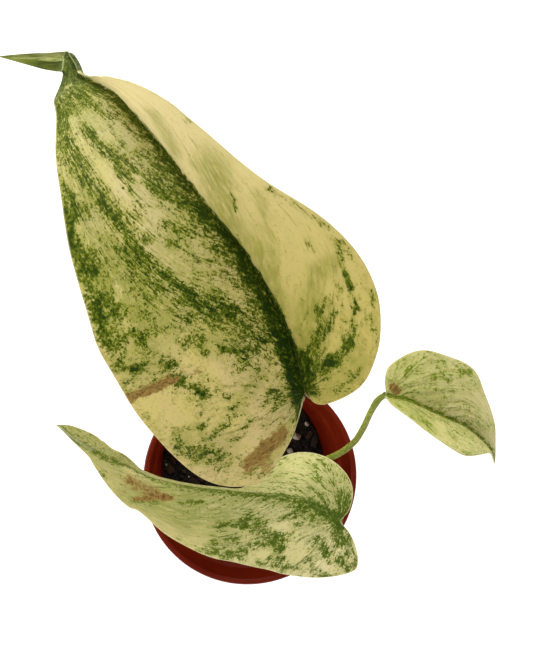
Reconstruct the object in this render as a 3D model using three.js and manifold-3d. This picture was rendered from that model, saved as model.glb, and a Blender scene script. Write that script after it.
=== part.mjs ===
// A young variegated monstera in a small nursery pot: three leaves on petioles from one short stem,
// in a thin plastic pot with potting mix up to a good half of its height. Millimetres, +Z up, with the
// origin at the middle of the pot's flat base.
import * as THREE from 'three';
import { mergeVertices } from 'three/addons/utils/BufferGeometryUtils.js';
import Module from 'manifold-3d';

// Gap left where two pieces touch.
const GAP = 0.3;

// Pot: a thin tapered wall that steps out into a collar, with a small lip round the top.
const POT = {
  height: 55,
  baseRadius: 21,
  baseRound: 1.5,
  wall: 1.0,
  floor: 1.5,
  floorFillet: 1.0,
  stepHeight: 46,
  stepRadius: 27.2,
  stepRise: 1.0,
  collarOut: 1.0,
  lipRadius: 30,
  lipHeight: 1.6,
  lipRound: 0.4,
  sides: 60,
};
// A rounded edge is cut in two bevels, with its middle point this far along it.
const BEVEL = 0.3;
const DRAIN = { count: 6, ring: 13.5, radius: 2.2, sides: 16 };

// Potting mix: a low crown, with chips of many sizes that stand proud or leave hollows, and a few pale
// perlite grains, at their places on the surface.
const MIX = { top: 33.5, crown: 0.8, clearance: 0.4, footRound: 1.5, rings: 13, sides: 60 };
const CHIPS = { seed: 11, count: 90, edge: 2.5, least: 1.2, spread: 1.6, height: 1.3, sunk: 0.35 };
const PERLITE = [
  { at: [-13.0, -7.5], radius: 2.2, height: 3.0 },
  { at: [16.2, 8.3], radius: 1.6, height: 1.6 },
  { at: [14.2, 4.0], radius: 1.3, height: 1.3 },
  { at: [16.6, 2.6], radius: 1.1, height: 1.2 },
  { at: [-20.3, -6.0], radius: 1.0, height: 1.0 },
  { at: [19.3, 12.0], radius: 1.0, height: 1.0 },
];

// Stem: short and upright, thicker at its nodes. Its main roots go out and down in the mix, each in a
// channel that runs on past its tip.
const STEM = {
  route: [[0, 0.5, 16], [0, 0, 26], [0.3, 0.2, 36], [0, 1, 44], [0.4, 2.2, 51]],
  radius: 2.9,
  narrowing: 0.12,
  nodes: [0.42, 0.66, 0.86],
  nodeSwell: 0.55,
  nodeLength: 0.03,
  crownEnd: 0.97,
  crownRadius: 0.75,
  steps: 24,
  sides: 12,
};
const ROOT = {
  count: 5,
  firstTurn: 0.3,
  level: 18.5,
  stagger: 3,
  reach: 15,
  drop: 10.5,
  bend: 0.5,
  radius: 0.8,
  tip: 0.4,
  clearance: 0.4,
  past: 0.12,
  steps: 7,
  sides: 6,
};

// Petioles: from the stem up to the blade, with the radius where they clasp the stem, where that sheath
// ends and under the blade.
const PETIOLES = {
  large: {
    route: [[0.5, 2.4, 51.5], [1.0, 5.2, 62], [2.0, 12, 78], [3.2, 20.5, 95], [4.3, 28.0, 106.7],
      [4.9, 31.0, 110.6]],
    base: 2.3, middle: 1.45, top: 1.15,
  },
  medium: {
    route: [[4.3, -1.6, 44.0], [6.8, -3.6, 51], [10.8, -6.4, 61.5], [15.5, -7.4, 72], [18.6, -6.6, 78],
      [19.6, -5.8, 80.7]],
    base: 2.1, middle: 1.3, top: 1.05,
  },
  small: {
    route: [[4.7, 1.0, 38.2], [9.5, 1.8, 44.5], [16.5, 3.4, 52.8], [22.5, 7.0, 60.3], [26.4, 11.4, 66.2],
      [27.6, 16.4, 73], [27.9, 21.5, 80], [28.8, 25.2, 84.2], [29.9, 27.0, 86.3]],
    base: 1.6, middle: 0.95, top: 0.75,
  },
};
const PETIOLE = { steps: 20, sides: 10, sheath: 0.3 };

// Blades. The midrib runs through points in space, from the petiole to the tip. Each half is drawn flat,
// as [distance along the midrib, distance out from it], and stands off the midrib at a fold angle, in
// degrees up from level across the leaf, given at fractions of the midrib's length. The curl changes that
// angle with each millimetre out. A low wave runs along the margin, and a rib thickens the underside.
const BLADES = {
  large: {
    midrib: [[5.5, 31, 113], [1.5, 43.5, 118], [-7, 59, 122], [-16, 70, 124], [-25.5, 82.5, 123], [-34, 93, 119],
      [-37.5, 96, 115.5], [-40.5, 98, 113], [-42.5, 99.5, 110], [-43.5, 102, 107.5], [-45, 104.5, 105],
      [-47, 105, 102.5], [-51.5, 105.5, 99], [-62.5, 107, 91]],
    left: [[0, 0], [-2.9, 2.3], [-8.4, 5.8], [-14.4, 13.8], [-14.9, 18.7], [-11.8, 24.9], [-6.3, 29.7], [2.4, 33.6],
      [14.1, 36.8], [29, 37.2], [38.2, 36.3], [46.1, 33.1], [56.9, 28.1], [66.5, 22.7], [76.4, 17.6], [84.4, 10.9],
      [92.2, 6.4], [96.9, 3.8], [98.7, 4.4], [102.5, 3.7], [109.8, 2.2], [120.9, 0]],
    right: [[0, 0], [-2.3, 2.2], [-1.3, 6.6], [3.8, 15.4], [9.8, 20.1], [16.1, 23.6], [21.7, 25.6], [28.2, 25.4],
      [35.9, 22.3], [44.4, 17.6], [53.1, 14.3], [60.7, 12.4], [66.3, 11.7], [72.9, 9.1], [77.9, 5.8], [83.8, 2.8],
      [87.5, 1], [97, 1], [103, 0.9], [111, 0.8], [120.9, 0]],
    foldLeft: [[0, 22], [0.7, 18], [0.85, 10], [1, 10]],
    foldRight: [[0, 56], [0.45, 58], [0.7, 85], [0.74, 105], [0.8, 105], [0.84, 35], [1, 30]],
    curlLeft: -0.6,
    curlRight: -0.6,
    rows: 44, columns: [0, 0.04, 0.12, 0.3, 0.5, 0.75, 1],
    rib: 1.1, ribWidth: 1.5, wave: 0.5, waves: 5,
  },
  medium: {
    midrib: [[19.5, -5.5, 83], [8.5, 1.5, 88.5], [-5, 4, 90.5], [-19, 5.5, 88.5], [-27, 7, 85.5], [-32, 9, 83.5],
      [-39.5, 12, 81], [-43.5, 14, 79.5], [-47.5, 16.5, 78], [-51.5, 19.5, 76]],
    left: [[0, 0], [-6.7, 2.4], [-12.6, 7], [-13, 10.6], [-5.2, 16.4], [5, 19.3], [16, 19.9], [28.6, 18.2],
      [36, 17.1], [45.3, 13.3], [52.4, 9.4], [55.8, 9.3], [60.4, 7.2], [66.6, 3.3], [70.1, 1.6], [80.2, 0]],
    right: [[0, 0], [-1, 4], [0.9, 9.1], [6, 12.6], [13, 14.7], [22, 16], [33, 16], [43, 13.5], [51, 8.5],
      [58, 4.2], [62, 3], [66.1, 3], [70.1, 3.7], [73.5, 3.3], [77.5, 2], [80.2, 0]],
    foldLeft: [[0, 0], [1, 0]],
    foldRight: [[0, -5], [0.4, -92], [0.7, -90], [0.79, -35], [1, -20]],
    curlLeft: -0.8,
    curlRight: -1.5,
    rows: 42, columns: [0, 0.05, 0.14, 0.32, 0.55, 0.78, 1],
    rib: 0.8, ribWidth: 1.2, wave: 0.4, waves: 4,
  },
  small: {
    midrib: [[30, 27, 88], [35, 26, 89.5], [39.5, 24, 89.5], [45, 21.5, 88.5], [50.5, 19, 86.5], [55, 16, 84],
      [60, 11.5, 80.5], [62.5, 7, 77]],
    left: [[0, 0], [-1.4, 4.5], [-0.7, 8.2], [4, 12.6], [11, 14.2], [17, 13.9], [23, 9.5], [30, 5.2], [36, 1.6],
      [42.5, 0]],
    right: [[0, 0], [1.5, 3.2], [6, 7], [13, 10.3], [20, 11.5], [25, 9], [31, 4.8], [37, 1.2], [42.5, 0]],
    foldLeft: [[0, 15], [1, 15]],
    foldRight: [[0, 62], [1, 62]],
    curlLeft: -1.5,
    curlRight: -1,
    rows: 26, columns: [0, 0.08, 0.22, 0.45, 0.72, 1],
    rib: 0.5, ribWidth: 0.8, wave: 0.25, waves: 3,
  },
};
// The blade turns with the chord of the midrib this far ahead and behind, and its side veins start close
// together at the petiole and further apart towards the tip.
const BLADE = { thickness: 0.7, chord: 12, veinStart: 0.06, ribFade: 0.8, lengthSteps: 1200 };

// The smallest distance between two separate vertices, and how closely a curve follows its points.
const WELD = 1e-4;
const TENSION = 0.5;

const FINISH = {
  pot: { color: 0x8a3a22, roughness: 0.45, metalness: 0 },
  mix: { color: 0x1c1713, roughness: 0.95, metalness: 0 },
  stem: { color: 0x7d8a3c, roughness: 0.6, metalness: 0 },
  petiole: { color: 0x8a9a3e, roughness: 0.5, metalness: 0 },
  blade: { color: 0xd6d9a0, roughness: 0.45, metalness: 0 },
};

const wasm = await Module();
wasm.setup();

function solid(geometry) {
  const bare = geometry.clone();
  bare.deleteAttribute('normal');
  bare.deleteAttribute('uv');
  const merged = mergeVertices(bare, WELD);
  return new wasm.Manifold(new wasm.Mesh({
    numProp: 3,
    vertProperties: new Float32Array(merged.attributes.position.array),
    triVerts: new Uint32Array(merged.index.array),
  }));
}

function geometryOf(manifold) {
  const mesh = manifold.getMesh();
  const geometry = new THREE.BufferGeometry();
  geometry.setAttribute('position', new THREE.BufferAttribute(new Float32Array(mesh.vertProperties), 3));
  geometry.setIndex(new THREE.BufferAttribute(new Uint32Array(mesh.triVerts), 1));
  return geometry;
}

function indexed(points, faces) {
  const geometry = new THREE.BufferGeometry();
  const flat = points.flatMap((point) => point.toArray());
  geometry.setAttribute('position', new THREE.Float32BufferAttribute(flat, 3));
  geometry.setIndex(faces.flat());
  return geometry;
}

function named(name, geometry, finish) {
  const mesh = new THREE.Mesh(geometry, new THREE.MeshStandardMaterial(finish));
  geometry.computeVertexNormals();
  mesh.name = name;
  return mesh;
}

function curveThrough(points) {
  const vectors = points.map((point) => new THREE.Vector3(...point));
  return new THREE.CatmullRomCurve3(vectors, false, 'catmullrom', TENSION);
}

const smooth = (t) => t * t * (3 - 2 * t);

// The value of a table of [fraction, value] stops, eased from each stop to the next.
function atStops(stops, fraction) {
  const next = stops.findIndex(([place]) => place >= fraction);
  if (next <= 0) return next === 0 ? stops[0][1] : stops[stops.length - 1][1];
  const [placeA, a] = stops[next - 1];
  const [placeB, b] = stops[next];
  return a + (b - a) * smooth((fraction - placeA) / (placeB - placeA));
}

// A repeatable draw of numbers from 0 to 1.
function draw(seed) {
  let state = seed;
  return () => {
    state = (state * 1664525 + 1013904223) % 4294967296;
    return state / 4294967296;
  };
}

// A closed round bar along a route, with its radius given as a function of the way along it.
function bar(route, steps, sides, radiusAt) {
  const curve = curveThrough(route);
  const frames = curve.computeFrenetFrames(steps, false);
  const points = [];
  const faces = [];
  for (let i = 0; i <= steps; i += 1) {
    const centre = curve.getPointAt(i / steps);
    const radius = radiusAt(i / steps);
    for (let j = 0; j < sides; j += 1) {
      const turn = (2 * Math.PI * j) / sides;
      points.push(centre.clone()
        .addScaledVector(frames.normals[i], Math.cos(turn) * radius)
        .addScaledVector(frames.binormals[i], Math.sin(turn) * radius));
    }
  }
  for (let i = 0; i < steps; i += 1) {
    for (let j = 0; j < sides; j += 1) {
      const a = i * sides + j;
      const b = i * sides + ((j + 1) % sides);
      faces.push([a, b, b + sides], [a, b + sides, a + sides]);
    }
  }
  const start = points.push(curve.getPointAt(0)) - 1;
  const end = points.push(curve.getPointAt(1)) - 1;
  const last = steps * sides;
  for (let j = 0; j < sides; j += 1) {
    const next = (j + 1) % sides;
    faces.push([start, next, j], [end, last + j, last + next]);
  }
  return indexed(points, faces);
}

// The outside of the pot's wall below its collar, at a height.
const outerRadius = (height) => POT.baseRadius + ((POT.stepRadius - POT.baseRadius) * height) / POT.stepHeight;

function pot() {
  const { height, baseRadius, baseRound, wall, floor, floorFillet } = POT;
  const { stepHeight, stepRise, collarOut, lipRadius, lipRound } = POT;
  const collarFoot = outerRadius(stepHeight) + collarOut;
  const collarTop = collarFoot + outerRadius(height) - outerRadius(stepHeight);
  const lipFoot = height - POT.lipHeight;
  const profile = [
    [0, 0],
    [baseRadius - baseRound, 0],
    [baseRadius - baseRound * BEVEL, baseRound * BEVEL],
    [outerRadius(baseRound), baseRound],
    [outerRadius(stepHeight), stepHeight],
    [collarFoot, stepHeight + stepRise],
    [collarTop, lipFoot],
    [lipRadius, lipFoot + lipRound],
    [lipRadius, height - lipRound],
    [lipRadius - lipRound, height],
    [collarTop - wall + lipRound, height],
    [collarTop - wall, height - lipRound],
    [collarFoot - wall, stepHeight + stepRise * 2],
    [outerRadius(stepHeight) - wall, stepHeight + stepRise],
    [outerRadius(floor + floorFillet) - wall, floor + floorFillet],
    [outerRadius(floor) - wall - floorFillet, floor],
    [0, floor],
  ].map(([radius, z]) => new THREE.Vector2(radius, z));
  const body = new THREE.LatheGeometry(profile, POT.sides);
  body.rotateX(Math.PI / 2);
  let shell = solid(body);
  for (let i = 0; i < DRAIN.count; i += 1) {
    const turn = (2 * Math.PI * i) / DRAIN.count;
    const hole = new THREE.CylinderGeometry(DRAIN.radius, DRAIN.radius, floor * 4, DRAIN.sides);
    hole.rotateX(Math.PI / 2);
    hole.translate(DRAIN.ring * Math.cos(turn), DRAIN.ring * Math.sin(turn), 0);
    shell = shell.subtract(solid(hole));
  }
  return geometryOf(shell);
}

// Roots leave the buried end of the stem all round and slope down through the mix.
function rootRoutes() {
  return Array.from({ length: ROOT.count }, (_, i) => {
    const firstTurn = (2 * Math.PI * (i + ROOT.firstTurn)) / ROOT.count;
    const level = ROOT.level + (i % 2) * ROOT.stagger;
    return [0.1, 0.4, 0.7, 1].map((t) => {
      const turn = firstTurn + ROOT.bend * t * t;
      const drop = (ROOT.drop * (t + t * t)) / 2;
      return [ROOT.reach * t * Math.cos(turn), ROOT.reach * t * Math.sin(turn), level - drop];
    });
  });
}

const rootRadius = (t) => ROOT.radius + (ROOT.tip - ROOT.radius) * t;

function stemRadius(t) {
  const swell = STEM.nodes.map((node) => Math.exp(-(((t - node) / STEM.nodeLength) ** 2)));
  const crown = t > STEM.crownEnd ? STEM.crownRadius : 1;
  return (STEM.radius + STEM.nodeSwell * Math.max(...swell)) * crown * (1 - STEM.narrowing * t);
}

function stem() {
  let body = solid(bar(STEM.route, STEM.steps, STEM.sides, stemRadius));
  for (const route of rootRoutes()) {
    body = body.add(solid(bar(route, ROOT.steps, ROOT.sides, rootRadius)));
  }
  return geometryOf(body);
}

const mixRadius = (z) => outerRadius(z) - POT.wall - MIX.clearance;

function chips() {
  const next = draw(CHIPS.seed);
  const reach = mixRadius(MIX.top) - CHIPS.edge;
  const bark = Array.from({ length: CHIPS.count }, () => {
    const out = reach * Math.sqrt(next());
    const turn = 2 * Math.PI * next();
    return {
      at: [out * Math.cos(turn), out * Math.sin(turn)],
      radius: CHIPS.least + CHIPS.spread * next(),
      height: CHIPS.height * (next() - CHIPS.sunk),
    };
  });
  return [...bark, ...PERLITE];
}

function mixTop() {
  const bumps = chips();
  const rim = mixRadius(MIX.top);
  return (x, y) => {
    let z = MIX.top + MIX.crown * (1 - (x * x + y * y) / (rim * rim));
    for (const { at, radius, height } of bumps) {
      const near = 1 - ((x - at[0]) ** 2 + (y - at[1]) ** 2) / (radius * radius);
      if (near > 0) z += height * Math.sqrt(near);
    }
    return z;
  };
}

// A plug of rings: the surface from its middle out to the wall, then down the wall and in across the foot.
function mixPlug() {
  const bottom = POT.floor + GAP;
  const heightAt = mixTop();
  const points = [new THREE.Vector3(0, 0, heightAt(0, 0))];
  const faces = [];
  const addRing = (radius, zAt) => {
    const start = points.length;
    for (let j = 0; j < MIX.sides; j += 1) {
      const turn = (2 * Math.PI * j) / MIX.sides;
      const x = radius * Math.cos(turn);
      const y = radius * Math.sin(turn);
      points.push(new THREE.Vector3(x, y, zAt(x, y)));
    }
    return start;
  };
  const rim = mixRadius(MIX.top);
  const rings = [];
  for (let i = 1; i < MIX.rings; i += 1) rings.push(addRing((rim * i) / MIX.rings, heightAt));
  rings.push(addRing(rim, () => MIX.top));
  rings.push(addRing(mixRadius(bottom + MIX.footRound), () => bottom + MIX.footRound));
  rings.push(addRing(mixRadius(bottom) - MIX.footRound, () => bottom));
  const foot = points.push(new THREE.Vector3(0, 0, bottom)) - 1;
  for (let j = 0; j < MIX.sides; j += 1) {
    const k = (j + 1) % MIX.sides;
    const last = rings.length - 1;
    faces.push([0, rings[0] + j, rings[0] + k], [foot, rings[last] + k, rings[last] + j]);
    for (let i = 0; i < last; i += 1) {
      const [inner, outer] = [rings[i], rings[i + 1]];
      faces.push([inner + j, outer + j, outer + k], [inner + j, outer + k, inner + k]);
    }
  }
  return solid(indexed(points, faces));
}

// The stem stands in a plain hole, and each root in a channel of its own, a gap wider all round.
function mix() {
  const [foot, ...rest] = STEM.route;
  const shaft = [[foot[0], foot[1], foot[2] - GAP], ...rest];
  const shaftRadius = STEM.radius + STEM.nodeSwell + GAP;
  let body = mixPlug().subtract(solid(bar(shaft, STEM.steps, STEM.sides, () => shaftRadius)));
  for (const route of rootRoutes()) {
    const [before, tip] = route.slice(-2);
    const past = tip.map((value, i) => value + (value - before[i]) * ROOT.past);
    const channel = [...route.slice(0, -1), past];
    const channelRadius = (t) => rootRadius(t) + ROOT.clearance;
    body = body.subtract(solid(bar(channel, ROOT.steps, ROOT.sides, channelRadius)));
  }
  return geometryOf(body);
}

// Petioles widen into a sheath where they clasp the stem.
function petiole({ route, base, middle, top }) {
  const radius = (t) => {
    if (t < PETIOLE.sheath) return base + (middle - base) * smooth(t / PETIOLE.sheath);
    return middle + (top - middle) * ((t - PETIOLE.sheath) / (1 - PETIOLE.sheath));
  };
  return bar(route, PETIOLE.steps, PETIOLE.sides, radius);
}

// A point of the blade's upper face, from its place on the flat leaf.
function bladeSurface(shape) {
  const curve = curveThrough(shape.midrib);
  curve.arcLengthDivisions = BLADE.lengthSteps;
  const length = curve.getLength();
  const upward = new THREE.Vector3(0, 0, 1);
  const rib = (along) => {
    const end = Math.min(Math.max(along, 0), length);
    return curve.getPointAt(end / length).addScaledVector(curve.getTangentAt(end / length), along - end);
  };
  const at = (along, out, side) => {
    const fraction = Math.min(Math.max(along / length, 0), 1);
    const ahead = rib(along + BLADE.chord).sub(rib(along - BLADE.chord)).normalize();
    const across = ahead.clone().cross(upward).normalize();
    const normal = across.clone().cross(ahead);
    const fold = THREE.MathUtils.degToRad(atStops(side > 0 ? shape.foldRight : shape.foldLeft, fraction));
    const curl = THREE.MathUtils.degToRad(side > 0 ? shape.curlRight : shape.curlLeft);
    const level = (Math.sin(fold + curl * out) - Math.sin(fold)) / curl;
    const rise = (Math.cos(fold) - Math.cos(fold + curl * out)) / curl;
    return rib(along).addScaledVector(across, side * level).addScaledVector(normal, rise);
  };
  return { at, length };
}

// The rows of a blade's face, from the point where it meets its petiole to its tip: triangles, and the
// edges round the margin. Each cell is halved the way its side veins run.
function bladeFaces(rows, columns) {
  const middle = columns - 1;
  const width = 2 * columns - 1;
  const tip = 1 + (rows - 1) * width;
  const id = (row, column) => {
    if (row === 0) return 0;
    return row === rows ? tip : 1 + (row - 1) * width + column;
  };
  const faces = [];
  const margin = [];
  for (let row = 0; row < rows; row += 1) {
    for (let column = 0; column < width - 1; column += 1) {
      const a = id(row, column);
      const b = id(row, column + 1);
      const c = id(row + 1, column + 1);
      const d = id(row + 1, column);
      const halves = column < middle ? [[a, b, c], [a, c, d]] : [[a, b, d], [b, c, d]];
      faces.push(...halves.filter(([p, q, r]) => p !== q && q !== r && r !== p));
    }
    margin.push([id(row + 1, 0), id(row, 0)], [id(row, width - 1), id(row + 1, width - 1)]);
  }
  return { faces, margin };
}

// A closed sheet below a face, with a thickness given at each of its points.
function sheet(top, thick, faces, margin) {
  const normals = top.map(() => new THREE.Vector3());
  for (const face of faces) {
    const [a, b, c] = face.map((i) => top[i]);
    const normal = b.clone().sub(a).cross(c.clone().sub(a));
    face.forEach((i) => normals[i].add(normal));
  }
  const under = top.map((point, i) => point.clone().addScaledVector(normals[i].normalize(), -thick[i]));
  const count = top.length;
  const skin = [...faces, ...faces.map(([a, b, c]) => [a + count, c + count, b + count])];
  for (const [a, b] of margin) skin.push([b, a, b + count], [a, a + count, b + count]);
  return indexed([...top, ...under], skin);
}

// Each row of points runs from the midrib out to the margin, as a side vein does.
function blade(shape) {
  const { at, length } = bladeSurface(shape);
  const { rows, columns } = shape;
  const outline = (points) => curveThrough(points.map(([along, out]) => [along, out, 0]));
  const margin = { [-1]: outline(shape.left), 1: outline(shape.right) };
  const top = [at(0, 0, 1)];
  const thick = [BLADE.thickness + shape.rib];
  const place = (u, v, side) => {
    const edge = margin[side].getPointAt(u);
    const start = length * (BLADE.veinStart * u + (1 - BLADE.veinStart) * u ** 3);
    const out = Math.max(edge.y, 0) * v;
    const point = at(start + (edge.x - start) * v, out, side);
    const swing = Math.sin(2 * Math.PI * shape.waves * u + side) * Math.sin(Math.PI * u);
    point.z += shape.wave * v * v * swing;
    const rib = shape.rib * (1 - BLADE.ribFade * u) * Math.exp(-((out / shape.ribWidth) ** 2));
    top.push(point);
    thick.push(BLADE.thickness + rib);
  };
  const outward = columns.slice(1);
  for (let row = 1; row < rows; row += 1) {
    for (const v of [...outward].reverse()) place(row / rows, v, -1);
    for (const v of columns) place(row / rows, v, 1);
  }
  top.push(at(length, 0, 1));
  thick.push(BLADE.thickness);
  const { faces, margin: rim } = bladeFaces(rows, columns.length);
  return sheet(top, thick, faces, rim);
}

const plant = new THREE.Group();
plant.add(named('pot', pot(), FINISH.pot));
plant.add(named('potting_mix', mix(), FINISH.mix));
plant.add(named('stem', stem(), FINISH.stem));
for (const size of ['large', 'medium', 'small']) {
  plant.add(named(`petiole_${size}`, petiole(PETIOLES[size]), FINISH.petiole));
  plant.add(named(`leaf_blade_${size}`, blade(BLADES[size]), FINISH.blade));
}

export default plant;
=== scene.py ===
import math
import random
from bisect import bisect_right

import bpy
from mathutils import Euler, Matrix, Vector, noise


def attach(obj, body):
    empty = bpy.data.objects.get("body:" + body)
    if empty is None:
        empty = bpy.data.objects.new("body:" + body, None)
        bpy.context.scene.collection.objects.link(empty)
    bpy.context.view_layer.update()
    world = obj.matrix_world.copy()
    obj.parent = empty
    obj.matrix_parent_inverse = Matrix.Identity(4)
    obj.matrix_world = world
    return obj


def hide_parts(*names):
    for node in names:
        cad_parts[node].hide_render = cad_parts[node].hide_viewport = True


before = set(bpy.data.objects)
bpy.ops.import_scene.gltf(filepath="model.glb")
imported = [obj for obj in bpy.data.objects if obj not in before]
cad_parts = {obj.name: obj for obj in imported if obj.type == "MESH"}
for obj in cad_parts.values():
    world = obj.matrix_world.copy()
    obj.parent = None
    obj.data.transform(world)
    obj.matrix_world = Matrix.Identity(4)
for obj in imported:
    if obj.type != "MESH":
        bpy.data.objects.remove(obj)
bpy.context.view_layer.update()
bpy.ops.object.select_all(action="DESELECT")

# Without a seed, noise_vector gives other values in each run.
noise.seed_set(7)

# Lengths below are millimetres, as on the part, and a finished piece is brought to metres.
MM = 0.001

# Camera: almost straight above the pot, a little to its left and behind it.
CAMERA_PLACE = Vector((-30.6, 56.8, 329.2))
CAMERA_AHEAD = Vector((0.1258, -0.0571, -0.9904))
CAMERA_LENS = 54.0

# Floor and lights, in metres: each light's place and power. All are discs turned to the same spot.
FLOOR_SIZE = 30
FLOOR_GLOW = 0.35
LIGHTS = {
    "key": ((0.15, 1.2, 0.9), 20),
    "left": ((-1.2, 0.2, 0.6), 17),
    "right": ((1.2, -0.1, 0.7), 3),
    "front": ((0.0, -1.2, 0.6), 9),
}
LIGHT_SIZE = 0.9
LIT_SPOT = Vector((0, 0.03, 0.08))
SKY = (1.0, 0.99, 0.975, 1.0)
SKY_STRENGTH = 0.35

# Pot.
POT_HEIGHT = 55.0
POT_BASE_RADIUS = 21.0
POT_FOOT = 1.2
POT_WALL = 1.0
POT_FLOOR = 1.5
POT_STEP_HEIGHT = 46.0
POT_STEP_RADIUS = 27.2
POT_STEP_RISE = 1.0
POT_COLLAR_OUT = 1.0
POT_LIP_RADIUS = 30.0
POT_LIP_HEIGHT = 1.6
POT_LIP_SLOPE = 0.25
POT_EDGE = 0.35
POT_CORNER = 1
POT_BEVEL = 0.22
POT_SIDES = 128
DRAIN_COUNT = 6
DRAIN_RING = 13.5
DRAIN_RADIUS = 2.2

# Potting mix: a low crown with lumps and grit, and what lies on it. Each large perlite grain has its place,
# radius and height. The rest are strewn, with their least and greatest lengths. The mix is a grid of rows
# from the middle of its top to the middle of its foot: a share for the top, then one for the wall.
MIX_TOP = 33.5
MIX_CROWN = 0.8
MIX_LUMPS = 0.9
MIX_GRIT = 0.45
MIX_CLEARANCE = 0.15
MIX_FLOOR_GAP = 0.2
MIX_TOP_ROWS = 0.86
MIX_WALL_ROWS = 0.8
PERLITE = [
    ((-13.0, -7.5), 2.2, 3.0),
    ((16.2, 8.3), 1.6, 1.6),
    ((14.2, 4.0), 1.3, 1.3),
    ((16.6, 2.6), 1.1, 1.2),
    ((-20.3, -6.0), 1.0, 1.0),
    ((19.3, 12.0), 1.0, 1.0),
]
CRUMBS = 46
CRUMB_SIZE = (0.4, 1.3)
CHIPS = 230
CHIP_SIZE = (1.0, 3.6)
CHIP_EDGE = 1.6
FINES = 420
FINE_SIZE = (0.35, 1.1)

# Stem, swollen and ringed at its nodes, and its main roots, which slope down and turn as they go out.
STEM_ROUTE = [(0, 0.5, 16), (0, 0, 26), (0.3, 0.2, 36), (0, 1, 44), (0.4, 2.2, 51)]
STEM_RADIUS = 2.9
STEM_TAPER = 0.12
STEM_NODES = (0.42, 0.66, 0.86)
NODE_SWELL = 0.55
NODE_SCAR = 0.05
ROOT_COUNT = 5
ROOT_RADIUS = 0.8
ROOT_TAPER = 0.4
ROOT_LEVEL = 18.5
ROOT_STAGGER = 3.0
ROOT_REACH = 15.0
ROOT_DROP = 10.5
ROOT_TURN = 0.5

# A tube closes over this share of its length at each end. A petiole's sheath ends, and the swollen joint
# under its blade lies, at these shares of its length. Its upper side has a channel with a wing on each side
# of it, as shares of its radius, placed by the turn round it in radians, up to where they start to fade.
CAP = 0.01
SHEATH = 0.3
JOINT = 0.93
JOINT_SWELL = 0.16
CHANNEL = 0.26
CHANNEL_TURN = 0.42
CHANNEL_END = 0.8
WING = 0.2
WING_TURN = 0.75
WING_WIDTH = 0.25
WING_END = 0.12

# Petioles: route from the stem to the blade, and the radius at the stem, past the sheath and at the blade.
PETIOLES = {
    "large": {
        "route": [
            (0.5, 2.4, 51.2), (1, 5.2, 62), (2, 12, 78), (3.2, 20.5, 95), (4.3, 28, 106.7),
            (4.9, 31.2, 111.6),
        ],
        "radii": (2.3, 1.45, 1.15),
    },
    "medium": {
        "route": [
            (4.0, -1.5, 43.5), (6.8, -3.6, 51), (10.8, -6.4, 61.5), (15.5, -7.4, 72), (18.6, -6.6, 78),
            (19.6, -5.6, 81.8),
        ],
        "radii": (2.1, 1.3, 1.05),
    },
    "small": {
        "route": [
            (4.3, 1, 37.8), (9.5, 1.8, 44.5), (16.5, 3.4, 52.8), (22.5, 7, 60.3), (26.4, 11.4, 66.2),
            (27.6, 16.4, 73), (27.9, 21.5, 80), (28.8, 25.2, 84.2), (30.1, 27.1, 87),
        ],
        "radii": (1.6, 0.95, 0.75),
    },
}

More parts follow.
